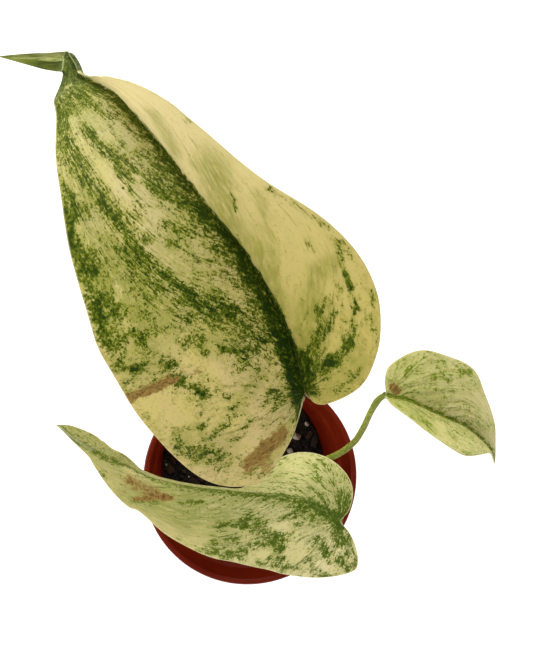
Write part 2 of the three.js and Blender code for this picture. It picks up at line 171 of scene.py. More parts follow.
# Blades. The midrib runs through points in space. Each half is drawn flat, as (distance along the midrib,
# distance out from it), and stands off the midrib at a fold angle, in degrees up from level across the
# leaf, which changes by the curl for each millimetre out. Side veins leave the midrib and lean towards
# the tip, more so further out. The green band beside the midrib has its width, the rest its share of
# green, given as (share of the midrib's length, value).
BLADES = {
    "large": {
        "slot": "blade_cream",
        "midrib": [
            (5.5, 31, 113), (1.5, 43.5, 118), (-7, 59, 122), (-16, 70, 124), (-25.5, 82.5, 123),
            (-34, 93, 119), (-37.5, 96, 115.5), (-40.5, 98, 113), (-42.5, 99.5, 110), (-43.5, 102, 107.5),
            (-45, 104.5, 105), (-47, 105, 102.5), (-51.5, 105.5, 99), (-62.5, 107, 91),
        ],
        "margin": {
            "left": [
                (0, 0), (-2.9, 2.3), (-8.4, 5.8), (-14.4, 13.8), (-14.9, 18.7), (-11.8, 24.9), (-6.3, 29.7),
                (2.4, 33.6), (14.1, 36.8), (29, 37.2), (38.2, 36.3), (46.1, 33.1), (56.9, 28.1),
                (66.5, 22.7), (76.4, 17.6), (84.4, 10.9), (92.2, 6.4), (96.9, 3.8), (98.7, 4.4),
                (102.5, 3.7), (109.8, 2.2), (120.9, 0),
            ],
            "right": [
                (0, 0), (-2.3, 2.2), (-1.3, 6.6), (3.8, 15.4), (9.8, 20.1), (16.1, 23.6), (21.7, 25.6),
                (28.2, 25.4), (35.9, 22.3), (44.4, 17.6), (53.1, 14.3), (60.7, 12.4), (66.3, 11.7),
                (72.9, 9.1), (77.9, 5.8), (83.8, 2.8), (87.5, 1), (97, 1), (103, 0.9), (111, 0.8),
                (120.9, 0),
            ],
        },
        "fold": {
            "left": [(0, 22), (0.7, 18), (0.85, 10), (1, 10)],
            "right": [(0, 56), (0.45, 58), (0.7, 85), (0.74, 105), (0.8, 105), (0.84, 35), (1, 30)],
        },
        "curl": {"left": -0.6, "right": -0.6},
        "wave": 0.5,
        "waves": 5,
        "rows": 250,
        "columns": 168,
        "vein_run": {"left": 40, "right": 20},
        "rib_green": [(0, 1), (0.3, 1), (0.42, 0.75), (0.7, 0.7), (0.82, 0.95)],
        "vein_spacing": 8.5,
        "band": {
            "left": [
                (0, 4.2), (0.1, 4.8), (0.2, 4.2), (0.35, 2.4), (0.6, 1.8), (0.72, 2.4), (0.78, 6), (1, 6),
            ],
            "right": [(0, 1.0), (0.1, 0.7), (0.25, 0.35), (0.6, 0.3), (0.75, 0.5), (0.8, 6), (1, 6)],
        },
        "speckle": {
            "left": [
                (0, 0.34), (0.12, 0.36), (0.25, 0.46), (0.5, 0.54), (0.62, 0.57), (0.75, 0.7), (1, 0.9),
            ],
            "right": [(0, 0.34), (0.12, 0.3), (0.25, 0.12), (0.7, 0.04), (0.8, 0.6), (1, 0.9)],
        },
    },
    "medium": {
        "slot": "blade_pale_green",
        "midrib": [
            (19.5, -5.5, 83), (8.5, 1.5, 88.5), (-5, 4, 90.5), (-19, 5.5, 88.5), (-27, 7, 85.5),
            (-32, 9, 83.5), (-39.5, 12, 81), (-43.5, 14, 79.5), (-47.5, 16.5, 78), (-51.5, 19.5, 76),
        ],
        "margin": {
            "left": [
                (0, 0), (-6.7, 2.4), (-12.6, 7), (-13, 10.6), (-5.2, 16.4), (5, 19.3), (16, 19.9),
                (28.6, 18.2), (36, 17.1), (45.3, 13.3), (52.4, 9.4), (55.8, 9.3), (60.4, 7.2), (66.6, 3.3),
                (70.1, 1.6), (80.2, 0),
            ],
            "right": [
                (0, 0), (-1, 4), (0.9, 9.1), (6, 12.6), (13, 14.7), (22, 16), (33, 16), (43, 13.5),
                (51, 8.5), (58, 4.2), (62, 3), (66.1, 3), (70.1, 3.7), (73.5, 3.3), (77.5, 2), (80.2, 0),
            ],
        },
        "fold": {
            "left": [(0, 0), (1, 0)],
            "right": [(0, -5), (0.4, -92), (0.7, -90), (0.79, -35), (1, -20)],
        },
        "curl": {"left": -0.8, "right": -1.5},
        "wave": 0.4,
        "waves": 4,
        "rows": 180,
        "columns": 110,
        "vein_run": {"left": 24, "right": 20},
        "rib_green": [(0, 0.9), (0.2, 0.6), (1, 0.6)],
        "vein_spacing": 7,
        "band": {
            "left": [(0, 1.7), (0.3, 1.3), (0.6, 0.8), (0.8, 0.5), (1, 0.3)],
            "right": [(0, 1.8), (0.2, 1.2), (1, 0.6)],
        },
        "speckle": {
            "left": [(0, 0.41), (0.3, 0.43), (0.45, 0.4), (0.6, 0.3), (0.85, 0.34), (1, 0.4)],
            "right": [(0, 0.5), (0.4, 0.44), (1, 0.5)],
        },
    },
    "small": {
        "slot": "blade_pale_green",
        "midrib": [
            (30, 27, 88), (35, 26, 89.5), (39.5, 24, 89.5), (45, 21.5, 88.5), (50.5, 19, 86.5),
            (55, 16, 84), (60, 11.5, 80.5), (62.5, 7, 77),
        ],
        "margin": {
            "left": [
                (0, 0), (-1.4, 4.5), (-0.7, 8.2), (4, 12.6), (11, 14.2), (17, 13.9), (23, 9.5), (30, 5.2),
                (36, 1.6), (42.5, 0),
            ],
            "right": [
                (0, 0), (1.5, 3.2), (6, 7), (13, 10.3), (20, 11.5), (25, 9), (31, 4.8), (37, 1.2),
                (42.5, 0),
            ],
        },
        "fold": {"left": [(0, 15), (1, 15)], "right": [(0, 62), (1, 62)]},
        "curl": {"left": -1.5, "right": -1.0},
        "wave": 0.25,
        "waves": 3,
        "rows": 120,
        "columns": 80,
        "vein_run": {"left": 18, "right": 14},
        "rib_green": [(0, 0.9), (0.6, 0.8), (1, 0.5)],
        "vein_spacing": 5,
        "band": {"left": [(0, 0.6), (0.5, 0.5), (1, 0.3)], "right": [(0, 0.6), (0.5, 0.5), (1, 0.3)]},
        "speckle": {"left": [(0, 0.46), (0.5, 0.42), (1, 0.3)], "right": [(0, 0.5), (0.5, 0.46), (1, 0.4)]},
    },
}

# Strokes on the flat blades: from one place to another, with a half width and how green, bare, washed
# or brown they make it. Washes lay a wash of green, and on the large leaf's left half some of them are
# painted shade.
STROKES = {
    ("large", "marks", "left"): [
        (-2.5, 26, 0, 31, 1.6, 0.5), (0, 31, 6.5, 30.5, 1, 0.35), (-6.5, 24.5, -3.5, 24.5, 1.6, 0.45),
        (-10, 23.5, -7.5, 22, 0.8, 0.3), (0.5, 24.5, 2, 20, 0.8, 0.55), (-7.5, 19.5, -5, 21, 1, 0.45),
        (4, 25.5, 7, 24.5, 1.3, 0.45), (-2.5, 18, 0, 15, 0.9, 0.4), (2, 19.5, 5, 17, 1, 0.4),
        (1.5, 11.5, 2.5, 10.5, 0.9, 0.4), (0, 8.5, 1, 7.5, 0.8, 0.4), (1.5, 5.5, 4.5, 8.5, 1.4, 0.5),
        (10, 8, 13.5, 11.5, 1, 0.45), (14, 13.5, 17.5, 10.5, 1.3, 0.45), (16, 10, 16.5, 6.5, 1.1, 0.55),
        (18, 12.5, 20, 14.5, 0.8, 0.7), (20, 15, 22, 15.5, 0.7, 0.5), (16.5, 7.5, 32, 14, 3, 0.42),
        (27, 9.5, 29.5, 12, 1.6, 0.55), (30, 13, 36.5, 15.5, 1.6, 0.55), (35.5, 15, 42, 16, 0.8, 0.65),
        (42, 16, 51, 17.5, 0.9, 0.55), (32.5, 19.5, 36.5, 18, 1.6, 0.4), (22.5, 18.5, 26.5, 18.5, 1, 0.45),
        (11.5, 22, 19, 26.5, 0.9, 0.65), (19, 26.5, 22, 27.5, 0.7, 0.5), (8.5, 18, 12, 19.5, 0.8, 0.45),
        (23, 25, 26.5, 26.5, 1.2, 0.5), (24.5, 28, 28.5, 29.5, 1.2, 0.4), (29.5, 33, 31.5, 35, 1, 0.6),
        (33.5, 35, 38, 33, 1.2, 0.3), (34.5, 28.5, 43.5, 29, 0.9, 0.6), (38, 33, 47, 31, 1.9, 0.5),
        (42.5, 27, 48, 29.5, 0.8, 0.55), (47, 28.5, 52.5, 27.5, 1.5, 0.4), (35.5, 23.5, 51, 23.5, 3, 0.05),
        (43, 19, 51, 19.5, 1.7, 0.45), (41, 19.5, 39, 17, 0.7, 0.5), (50.5, 15, 45.5, 10.5, 0.7, 0.5),
        (25.5, 3, 60.5, 3, 2, 0.4), (20.5, 6, 35, 8.5, 2.2, 0.3), (44.5, 31.5, 57.5, 27.5, 1.3, 0.45),
        (51.5, 27, 58.5, 26, 1.1, 0.55), (59.5, 24.5, 69.5, 21.5, 1.6, 0.55),
        (59, 22.5, 65.5, 21, 1.5, 0.4), (51.5, 19.5, 55, 21.5, 1.2, 0.4), (50, 17, 60.5, 17.5, 0.8, 0.5),
        (56.5, 16.5, 68.5, 15.5, 1.4, 0.4), (64.5, 17, 69.5, 18, 0.8, 0.4),
        (67.5, 14.5, 74.5, 11.5, 1.5, 0.35), (71.5, 16, 82.5, 12.5, 2.2, 0.5),
        (46.5, 2, 56.5, 6.5, 1.2, 0.45), (82.5, 11.5, 93, 5.5, 2.4, 0.5), (78, 6, 92, 3, 1, 0.5),
        (60, 10.5, 76, 10, 0.8, 0.5), (56.5, 7, 73.5, 10, 0.7, 0.5), (45, 6.5, 50.5, 9.5, 1, 0.35),
        (89.5, 2.5, 101, 3, 1.5, 0.6),
    ],
    ("large", "marks", "right"): [
        (1, 2.5, 9.5, 2, 1.6, 0.9), (9.5, 2.5, 15, 7.5, 0.7, 0.7), (5, 3.5, 9, 9.5, 1.6, 0.65),
        (9, 9.5, 13.5, 15.5, 1.3, 0.7), (8.5, 5, 13.5, 8.5, 1.3, 0.55), (14.5, 9.5, 19.5, 15, 0.5, 0.75),
        (15.5, 9, 19.5, 11, 1, 0.55), (20, 10.5, 22, 15, 0.9, 0.5), (2, 9, 9, 18, 0.8, 0.4),
        (13.5, 16, 19.5, 19.5, 0.6, 0.5), (19.5, 19.5, 31.5, 22.5, 0.7, 0.6),
        (23, 18, 24.5, 18.5, 0.6, 0.5), (14, 21.5, 17, 22.5, 0.7, 0.4), (20, 24, 21.5, 24.5, 0.5, 0.5),
        (32.5, 16.5, 33, 16.5, 0.6, 0.6), (44, 16.5, 44, 17, 0.6, 0.7), (61.5, 11.5, 61.5, 11.5, 0.6, 0.7),
        (19.5, 0.5, 24, 1, 0.4, 0.7), (36.5, 0, 39, 1.5, 0.4, 0.5), (43.5, 6, 48, 9, 0.35, 0.7),
        (24, 24.5, 31, 23.5, 0.7, 0.5), (33, 22.5, 44, 16.8, 0.5, 0.4),
    ],
    ("large", "clearings", "left"): [
        (27.5, 6, 35, 9, 0.8, 0.4), (41, 13.5, 48, 14, 1.6, 0.5), (60.5, 13.5, 72.5, 12.5, 1.3, 0.5),
        (63.5, 19.5, 69.5, 20, 0.9, 0.5), (66.5, 5, 71.5, 4.5, 1, 0.6), (57.5, 13.5, 66.5, 12, 1.3, 0.5),
        (70, 8, 78, 7.5, 1.2, 0.6), (74, 13, 80, 10.5, 0.8, 0.5), (52, 10, 60, 9, 1.2, 0.5),
        (9, 30.5, 16.5, 34, 2.5, 0.5), (-3, 14, -5.5, 19.5, 1.5, 0.4), (6, 22, 9, 28.5, 1.6, 0.3),
        (23, 23, 32, 26.5, 1.4, 0.4), (53.5, 21, 58.5, 22.5, 2, 0.4), (11.5, 17, 20.5, 19, 1.6, 0.3),
        (89.5, 4, 94, 2.5, 0.6, 0.8),
    ],
    # Painted shade: the washes from (30, 30) to (66, 21) and from (82, 7) to (92, 3).
    ("large", "washes_and_shade", "left"): [
        (35.5, 23.5, 51, 23.5, 4.5, 0.85), (6, 15, 9.5, 11, 2.5, 0.5), (45.5, 5.5, 75.5, 8, 4, 0.4),
        (30, 30, 66, 21, 5, 0.6), (24, 14, 44, 12, 5, 0.6), (3, 28, -5, 22, 3.5, 0.45),
        (82, 7, 92, 3, 5, 0.6), (-10, 12, -4, 6, 3, 0.35),
    ],
    ("large", "washes_and_shade", "right"): [
        (10, 2.5, 20.5, 9.5, 3.5, 0.95), (43.5, 2, 52, 8.5, 3.8, 0.9), (27, 16, 28, 19.5, 1.6, 0.8),
        (22, 1, 36, 4.5, 2.4, 0.8), (2.5, 7.5, 10, 16, 3, 0.6), (60, 2.5, 67, 5.5, 1.6, 0.7),
        (20, 9, 27, 14, 1.6, 0.7), (29, 5, 40, 11.5, 1.0, 0.6), (41, 12, 44, 13.5, 1.2, 0.6),
        (36, 1, 46, 4, 1.5, 0.6), (50, 9, 56, 5, 1.2, 0.5), (37, 3, 39, 8, 1.4, 0.4),
    ],
    ("large", "stains", "left"): [
        (21.5, 36.5, 20.5, 28.5, 1.5, 1), (20.5, 28.5, 20, 26.5, 0.7, 0.6),
        (-9.5, 17.5, -6.5, 8.5, 1.7, 0.9), (-12.5, 14, -8, 13, 1.5, 0.5), (19, 23, 18.5, 21, 0.6, 0.5),
    ],
    ("medium", "marks", "left"): [
        (-8, 14, -4, 15.5, 1.2, 0.6), (-2, 14, -2, 14, 1, 0.7), (-11.5, 10.5, -7, 9, 0.8, 0.6),
        (-12, 8, -5, 3, 1.4, 0.45), (-5, 11, 1, 6.5, 0.9, 0.6), (-2.5, 9, -0.5, 8.5, 0.9, 0.5),
        (3, 7.5, 3, 7, 1.1, 0.6), (-4, 5, 0, 1.5, 1.4, 0.7), (1, 12.5, 6, 16, 1, 0.5),
        (2, 16, 10, 18.5, 0.6, 0.5), (10, 18.5, 20, 18.5, 0.5, 0.45), (10, 16, 13.5, 17, 1.1, 0.65),
        (16, 16.5, 16.5, 16.5, 1, 0.5), (20.5, 17.5, 21, 17.5, 0.8, 0.6), (27.5, 16.5, 27.5, 17, 0.8, 0.55),
        (13.5, 12.5, 16.5, 11, 1.9, 0.75), (18, 11, 25, 14, 1.3, 0.45), (25.5, 13.5, 29, 15.5, 0.9, 0.45),
        (31.5, 16, 38, 15, 1.5, 0.45), (35.5, 12.5, 36, 12.5, 1.2, 0.55), (29, 12, 32, 12.5, 0.8, 0.5),
        (21, 9, 27, 7, 2.2, 0.45), (28, 7, 33.5, 9, 1.2, 0.55), (10.5, 4, 13.5, 9.5, 0.8, 0.3),
        (12, 3, 16.5, 5.5, 1, 0.45), (8.5, 3.5, 8.5, 3.5, 0.8, 0.55), (9, 1.5, 16, 2.5, 1.1, 0.4),
        (38, 3, 44, 4.5, 0.6, 0.55), (49, 4.5, 55, 7, 1, 0.65), (61, 0, 68, 0, 0.9, 0.7),
        (68, 0, 77, 0, 0.8, 0.5), (63.5, 4.5, 64.5, 4, 0.9, 0.4), (43, 13.5, 43.5, 13.5, 0.6, 0.4),
    ],
    ("medium", "marks", "right"): [(0, 2, 3, 5.5, 1.9, 0.7), (6.5, 8, 8, 11, 1, 0.3)],
    ("medium", "clearings", "left"): [
        (5, 13.5, 10, 12, 2, 0.7), (18, 15.5, 24, 16, 1, 0.6), (-8, 12.5, -3, 12, 1, 0.6),
        (38.5, 12, 46.5, 9, 2.5, 0.7), (14, 8, 20, 7.5, 1, 0.5),
    ],
    ("medium", "washes_and_shade", "left"): [
        (3, 5, 30, 3, 3, 0.4), (34, 6, 50.5, 3, 3.5, 0.85), (62, 1.5, 76.5, 0.5, 2.5, 0.5),
        (6, 1.2, 46, 0.8, 1.8, 0.8), (42, 8, 56, 6, 3, 0.75), (30, 11, 44, 9, 3, 0.45),
    ],
    ("medium", "washes_and_shade", "right"): [(2, 6, 25, 7.5, 6, 0.3)],
    ("medium", "stains", "left"): [
        (46, 3.5, 50, 4, 0.7, 0.9), (49.5, 3.5, 57, 3, 1.5, 0.6), (57.5, 3, 57.5, 3, 0.5, 1),
        (51, 5, 54.5, 6.5, 0.6, 0.8), (57.5, 6.5, 59.5, 7.5, 1, 0.4),
    ],
    ("small", "marks", "left"): [
        (3.5, 8, 3, 6, 0.7, 0.45), (6, 11, 6.5, 11, 0.7, 0.35), (9, 8, 10.5, 5, 0.8, 0.4),
        (13, 8.5, 13, 9, 0.7, 0.5), (15, 11.5, 16.5, 13, 0.9, 0.45), (14.5, 6.5, 15, 6, 0.7, 0.3),
        (21.5, 4, 22, 4, 0.8, 0.3), (25, 3, 29, 3.5, 1.5, 0.2),
    ],
    ("small", "marks", "right"): [
        (15, 1, 17, 1, 0.8, 0.4), (16.5, 6.5, 17, 7, 1, 0.25), (9.5, 5.5, 10, 6, 0.8, 0.25),
    ],
    ("small", "clearings", "left"): [(20, 8, 26, 5.5, 1.5, 0.5)],
    ("small", "clearings", "right"): [(14, 5, 14, 5.5, 1.5, 0.5)],
    ("small", "washes_and_shade", "left"): [(1, 3, 12, 3, 3, 0.5), (3, 8, 8, 12, 3, 0.4)],
    ("small", "washes_and_shade", "right"): [(2, 2, 10, 7, 2.5, 0.8)],
    ("small", "stains", "left"): [(1, 2.5, 2.5, 1.5, 0.8, 0.9), (1.5, 3, 1.5, 3.5, 1, 0.3)],
}

# The halves' sides of the midrib, seen from above with the tip ahead.
SIDES = {"left": -1, "right": 1}

# A blade's rows leave the midrib close together near the joint, and its columns crowd at the midrib by a
# power. The midrib's direction is taken over a chord to either side of a place. Behind the joint the side
# veins fan out and are counted by their turn. The crease between the halves closes while they bend back
# from each other, up to this many degrees.
EVEN_ROWS = 0.06
COLUMN_POWER = 1.3
CHORD = 12.0
FAN = 14.0
BENT_BACK = 40

# How far a blade swells between its side veins, the depth and width of the groove over its midrib, and its
# thickness: under the midrib, then as shares of that in the sheet and at the margin, from where it gains
# a share for each millimetre in.
SWELL = 0.2
SWELL_START = 4.0
GROOVE = 0.2
GROOVE_WIDTH = 0.7
RIB_THICKNESS = 1.0
RIB_WIDTH = 0.8
SHEET_SHARE = 0.42
MARGIN_SHARE = 0.25
MARGIN_GAIN = 0.3

# A stroke is full to the first share of its half width and fades over the second. All markings wander by
# a wobble. The band beside the midrib is full to a share of its width and gone after as much again, and a
# fainter green reaches further.
STROKE_CORE = 0.3
STROKE_FADE = 1.5
WOBBLE = 0.8
WOBBLE_RATE = 0.8
BAND_CORE = 0.6
NEAR_RIB = 0.25
NEAR_RIB_REACH = 2.4


# Lines and curves.
class Line:
    """A smooth line through points, with its places given by how far along it they are."""

    STEPS = 1200

    def __init__(self, points):
        points = [Vector(point) for point in points]
        knots = [2 * points[0] - points[1], *points, 2 * points[-1] - points[-2]]
        spans = len(points) - 1
        self.places = [self.between(knots, spans, spans * i / self.STEPS) for i in range(self.STEPS + 1)]
        self.marks = [0.0]
        for before, after in zip(self.places, self.places[1:]):
            self.marks.append(self.marks[-1] + (after - before).length)
        self.length = self.marks[-1]

    @staticmethod
    def between(knots, spans, place):
        span = min(int(place), spans - 1)
        t = place - span
        p0, p1, p2, p3 = knots[span:span + 4]
        v1 = (p2 - p0) / 2
        v2 = (p3 - p1) / 2
        return p1 + v1 * t + (3 * (p2 - p1) - 2 * v1 - v2) * t**2 + (2 * (p1 - p2) + v1 + v2) * t**3

    def at(self, distance):
        """The place at a distance, carried straight on past either end."""
        step = min(max(bisect_right(self.marks, distance) - 1, 0), self.STEPS - 1)
        share = (distance - self.marks[step]) / (self.marks[step + 1] - self.marks[step])
        return self.places[step].lerp(self.places[step + 1], share)

    def ahead(self, distance, reach):
        return (self.at(distance + reach) - self.at(distance - reach)).normalized()


def clamp(share):
    return min(max(share, 0.0), 1.0)


def ease(t):
    t = clamp(t)
    return t * t * (3 - 2 * t)


def bell(distance, width):
    return math.exp(-((distance / width) ** 2))


def around(radius, turn):
    return radius * math.cos(turn), radius * math.sin(turn)


def at_stops(stops, fraction):
    """The value of a list of (fraction, value) stops, eased from each stop to the next."""
    if fraction <= stops[0][0]:
        return stops[0][1]
    for (start, a), (end, b) in zip(stops, stops[1:]):
        if fraction <= end:
            return a + (b - a) * ease((fraction - start) / (end - start))
    return stops[-1][1]


# Making pieces.
def finish_piece(piece, name, node, slot, material=None):
    """Names a piece, gives it its material, brings it to metres, and ties it to the part."""
    piece.name = name
    piece.data.name = name
    if material:
        piece.data.materials.append(material)
    piece.data.transform(Matrix.Scale(MM, 4))
    piece.data.update()
    if node:
        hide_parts(node)
    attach(piece, "root")
    piece.select_set(False)


def grid_piece(columns, rows, place):
    """A grid of quads, with each vertex put where place(across, along) says, both running from 0 to 1."""
    bpy.ops.mesh.primitive_grid_add(x_subdivisions=columns, y_subdivisions=rows, size=1)
    piece = bpy.context.object
    for vertex in piece.data.vertices:
        vertex.co = place(vertex.co.x + 0.5, vertex.co.y + 0.5)
    return piece


def weld(piece, gap=0.001):
    """Closes seams and poles."""
    bpy.context.view_layer.objects.active = piece
    bpy.ops.object.mode_set(mode="EDIT")
    bpy.ops.mesh.select_all(action="SELECT")
    bpy.ops.mesh.remove_doubles(threshold=gap)
    bpy.ops.mesh.normals_make_consistent(inside=False)
    bpy.ops.object.mode_set(mode="OBJECT")


def apply_modifier(piece, kind, **settings):
    bpy.context.view_layer.objects.active = piece
    modifier = piece.modifiers.new(kind.lower(), kind)
    for name, value in settings.items():
        setattr(modifier, name, value)
    bpy.ops.object.modifier_apply(modifier=modifier.name)


def shade_smooth(piece):
    piece.data.polygons.foreach_set("use_smooth", [True] * len(piece.data.polygons))


def put(piece, name, kind, values):
    """Keeps a value for each vertex, for the piece's material to read."""
    attribute = piece.data.attributes.new(name, kind, "POINT")
    if kind == "FLOAT":
        attribute.data.foreach_set("value", values)
    else:
        attribute.data.foreach_set("vector", [x for value in values for x in value])


def join(pieces):
    bpy.ops.object.select_all(action="DESELECT")
    for piece in pieces:
        piece.select_set(True)
    bpy.context.view_layer.objects.active = pieces[0]
    bpy.ops.object.join()
    return pieces[0]


# Materials.
def operator(operation, reflected=False):
    """An operator of Value, which adds the node for it."""

    def act(self, *others):
        values = (*others, self) if reflected else (self, *others)
        return self.finish.node("ShaderNodeMath", {"operation": operation}, dict(enumerate(values)))

    return act


class Value:
    """A number, colour or vector on a socket of a material, so that sums of numbers read as sums."""

    def __init__(self, finish, socket):
        self.finish = finish
        self.socket = socket

    __add__ = __radd__ = operator("ADD")
    __mul__ = __rmul__ = operator("MULTIPLY")
    __sub__ = operator("SUBTRACT")
    __rsub__ = operator("SUBTRACT", reflected=True)
    __truediv__ = operator("DIVIDE")
    __abs__ = operator("ABSOLUTE")
    fract = operator("FRACT")
    at_least = operator("MAXIMUM")

    def rise(self, low, high):
        """0 up to low, 1 from high on, and smooth between them."""
        settings = {"interpolation_type": "SMOOTHSTEP", "clamp": True}
        values = {"Value": self, "From Min": low, "From Max": high}
        return self.finish.node("ShaderNodeMapRange", settings, values)


class Finish:
    """A procedural material."""

    def __init__(self, name):
        self.material = bpy.data.materials.new(name)
        self.material.use_nodes = True
        self.nodes = self.material.node_tree.nodes
        self.links = self.material.node_tree.links
        self.nodes.clear()

    def node(self, kind, settings=None, values=None, output=0):
        """Adds a node, sets it up, feeds its sockets with numbers, colours or values, and gives an output."""
        node = self.nodes.new(kind)
        for name, value in (settings or {}).items():
            setattr(node, name, value)
        for name, value in (values or {}).items():
            socket = node.inputs[name]
            if isinstance(value, Value):
                self.links.new(value.socket, socket)
            else:
                socket.default_value = value
        return Value(self, node.outputs[output])

    def attribute(self, name, output="Vector"):
        settings = {"attribute_type": "GEOMETRY", "attribute_name": name}
        return self.node("ShaderNodeAttribute", settings, None, output)

    def place(self):
        """Where a point is on the piece, in millimetres."""
        return self.stretch(self.node("ShaderNodeTexCoord", None, None, "Object"), (1 / MM,) * 3)

    def stretch(self, vector, scale):
        return self.node("ShaderNodeVectorMath", {"operation": "MULTIPLY"}, {0: vector, 1: scale})

    def shift(self, vector, other):
        return self.node("ShaderNodeVectorMath", {"operation": "ADD"}, {0: vector, 1: other})

    def parts(self, vector):
        node = self.node("ShaderNodeSeparateXYZ", None, {0: vector}).socket.node
        return [Value(self, socket) for socket in node.outputs]

    def noise(self, vector, scale, detail=2.0, roughness=0.5, distortion=0.0, output=0):
        values = {"Vector": vector, "Scale": scale, "Detail": detail, "Roughness": roughness}
        values["Distortion"] = distortion
        return self.node("ShaderNodeTexNoise", {"noise_dimensions": "3D"}, values, output)

    def cells(self, vector, scale, output="Distance"):
        values = {"Vector": vector, "Scale": scale}
        return self.node("ShaderNodeTexVoronoi", {"feature": "F1"}, values, output)

    def blend(self, share, a, b):
        """From colour a to colour b."""
        return self.node("ShaderNodeMix", {"data_type": "RGBA"}, {0: share, 6: colour(a), 7: colour(b)}, 2)

    def done(self, tint, roughness, specular, relief=None, through=None, **others):
        """Ends the material on a Principled surface. Its relief is (height, distance, strength), light comes
        through from behind as (colour, share), and others are named as on it, but for the underscores."""
        values = {"Base Color": tint, "Roughness": roughness, "Specular IOR Level": specular}
        for name, value in others.items():
            values[name.replace("_", " ")] = value
        if relief:
            height, distance, strength = relief
            bump = {"Height": height, "Distance": distance * MM, "Strength": strength}
            values["Normal"] = self.node("ShaderNodeBump", None, bump)
        shader = self.node("ShaderNodeBsdfPrincipled", None, values)
        if through:
            behind = self.node("ShaderNodeBsdfTranslucent", None, {"Color": colour(through[0])})
            shader = self.node("ShaderNodeMixShader", None, {0: through[1], 1: shader, 2: behind})
        output = self.nodes.new("ShaderNodeOutputMaterial")
        self.links.new(shader.socket, output.inputs["Surface"])
        return self.material


def colour(value):
    """A colour as (red, green, blue) from 0 to 255, as a screen shows it, made linear for a socket."""
    if isinstance(value, Value):
        return value
    return (*[linear(channel / 255) for channel in value], 1.0)


def linear(channel):
    return channel / 12.92 if channel <= 0.04045 else ((channel + 0.055) / 1.055) ** 2.4


# Leaf blades.
class Blade:
    """One leaf: where each place of the flat leaf lies in space, and how it is marked."""

    def __init__(self, size):
        self.size = size
        self.shape = BLADES[size]
        self.midrib = Line(self.shape["midrib"])
        self.length = self.midrib.length
        self.margins = {
            side: Line([(*place, 0) for place in points]) for side, points in self.shape["margin"].items()
        }
        self.halves = {side: self.ahead_of_joint(margin) for side, margin in self.margins.items()}

    @staticmethod
    def ahead_of_joint(margin):
        """The places of a margin from where it passes the joint's level on its way to the tip."""
        behind = max((i for i, place in enumerate(margin.places) if place.x < 0), default=0)
        places = []
        for place in margin.places[behind::8]:
            if not places or place.x > places[-1][0] + 0.01:
                places.append((place.x, place.y))
        return places

    def spot(self, row, share, side):
        """Distance along the midrib, distance out, and distance in from the margin."""
        margin = self.margins[side]
        reach = margin.length * row
        edge = margin.at(reach)
        start = self.length * (EVEN_ROWS * row + (1 - EVEN_ROWS) * row**3)
        along = start + (edge.x - start) * share
        out = max(edge.y, 0.0) * share
        run = Vector((edge.x - start, edge.y, 0))
        inward = (1 - share) * run.cross(margin.ahead(reach, 0.5)).length
        return along, out, inward

    def fraction(self, along):
        return clamp(along / self.length)

    def open_crease(self, along):
        """1 where the halves meet in a flat or a hollow crease, and 0 where they are bent back."""
        fold = sum(at_stops(stops, self.fraction(along)) for stops in self.shape["fold"].values())
        return ease(1 + fold / BENT_BACK)

    def surface(self, along, out, side):
        """The place in space of a place on the flat leaf."""
        ahead = self.midrib.ahead(along, CHORD)
        across = ahead.cross(Vector((0, 0, 1))).normalized()
        normal = across.cross(ahead)
        fold = math.radians(at_stops(self.shape["fold"][side], self.fraction(along)))
        curl = math.radians(self.shape["curl"][side])
        level = (math.sin(fold + curl * out) - math.sin(fold)) / curl
        rise = (math.cos(fold) - math.cos(fold + curl * out)) / curl
        return self.midrib.at(along) + SIDES[side] * level * across + rise * normal

    def half(self, along, side):
        """How wide one half is there, ahead of the joint."""
        places = self.halves[side]
        step = min(max(bisect_right(places, (along, 0.0)) - 1, 0), len(places) - 2)
        (a0, o0), (a1, o1) = places[step:step + 2]
        share = clamp((along - a0) / (a1 - a0))
        return max(o0 + (o1 - o0) * share, 0.5)

    def vein(self, along, out, side):
        """Where the side vein through a place leaves the midrib, and how far along that vein the place is.
        The veins bend forward as they near the margin. Behind the joint they fan out and count on below 0."""
        run = self.shape["vein_run"][side]

        def start_of(a, o):
            share = min(o / self.half(a, side), 1.2)
            return a - run * (share + share**2 / 2 + share**3 / 3)

        start = start_of(along, out)
        if start >= 0 and along > 0:
            return start, math.hypot(along - start, out)
        radius = math.hypot(along, out)
        low, high = 0.0, math.pi / 2
        for _ in range(16):
            middle = (low + high) / 2
            if start_of(*around(radius, middle)) > 0:
                low = middle
            else:
                high = middle
        return FAN * (low - math.atan2(out, along)), radius

    def stroke(self, kind, along, out, side):
        """How strongly the strokes of one kind mark a place."""
        rest = 1.0
        for a0, o0, a1, o1, width, amount in STROKES.get((self.size, kind, side), ()):
            da = a1 - a0
            do = o1 - o0
            run = max(da * da + do * do, 0.01)
            t = clamp(((along - a0) * da + (out - o0) * do) / run)
            away = math.hypot(along - a0 - da * t, out - o0 - do * t) / width
            rest *= 1 - amount * (1 - ease((away - STROKE_CORE) / STROKE_FADE))
        return 1 - rest

    def marks(self, along, out, side):
        """How green a place is, how much green wash or painted shade it has, and how brown it is."""
        fraction = self.fraction(along)
        place = Vector((along * WOBBLE_RATE, out * WOBBLE_RATE, SIDES[side] * 5.0))
        shift = noise.noise_vector(place)
        along += shift.x * WOBBLE
        out += shift.y * WOBBLE
        widths = out / at_stops(self.shape["band"][side], fraction)
        rib = at_stops(self.shape["rib_green"], fraction)
        by_rib = rib * (1 - ease((widths - BAND_CORE) / BAND_CORE))
        near_rib = rib * (1 - ease(widths / NEAR_RIB_REACH)) * NEAR_RIB
        kinds = ("marks", "clearings", "washes_and_shade", "stains")
        marked, bare, washed, stained = [self.stroke(kind, along, out, side) for kind in kinds]
        pale = (1 - at_stops(self.shape["speckle"][side], fraction)) * (1 - marked)
        green = 1 - (1 - (1 - pale) * (1 - bare)) * (1 - by_rib) * (1 - near_rib)
        return green, washed, stained


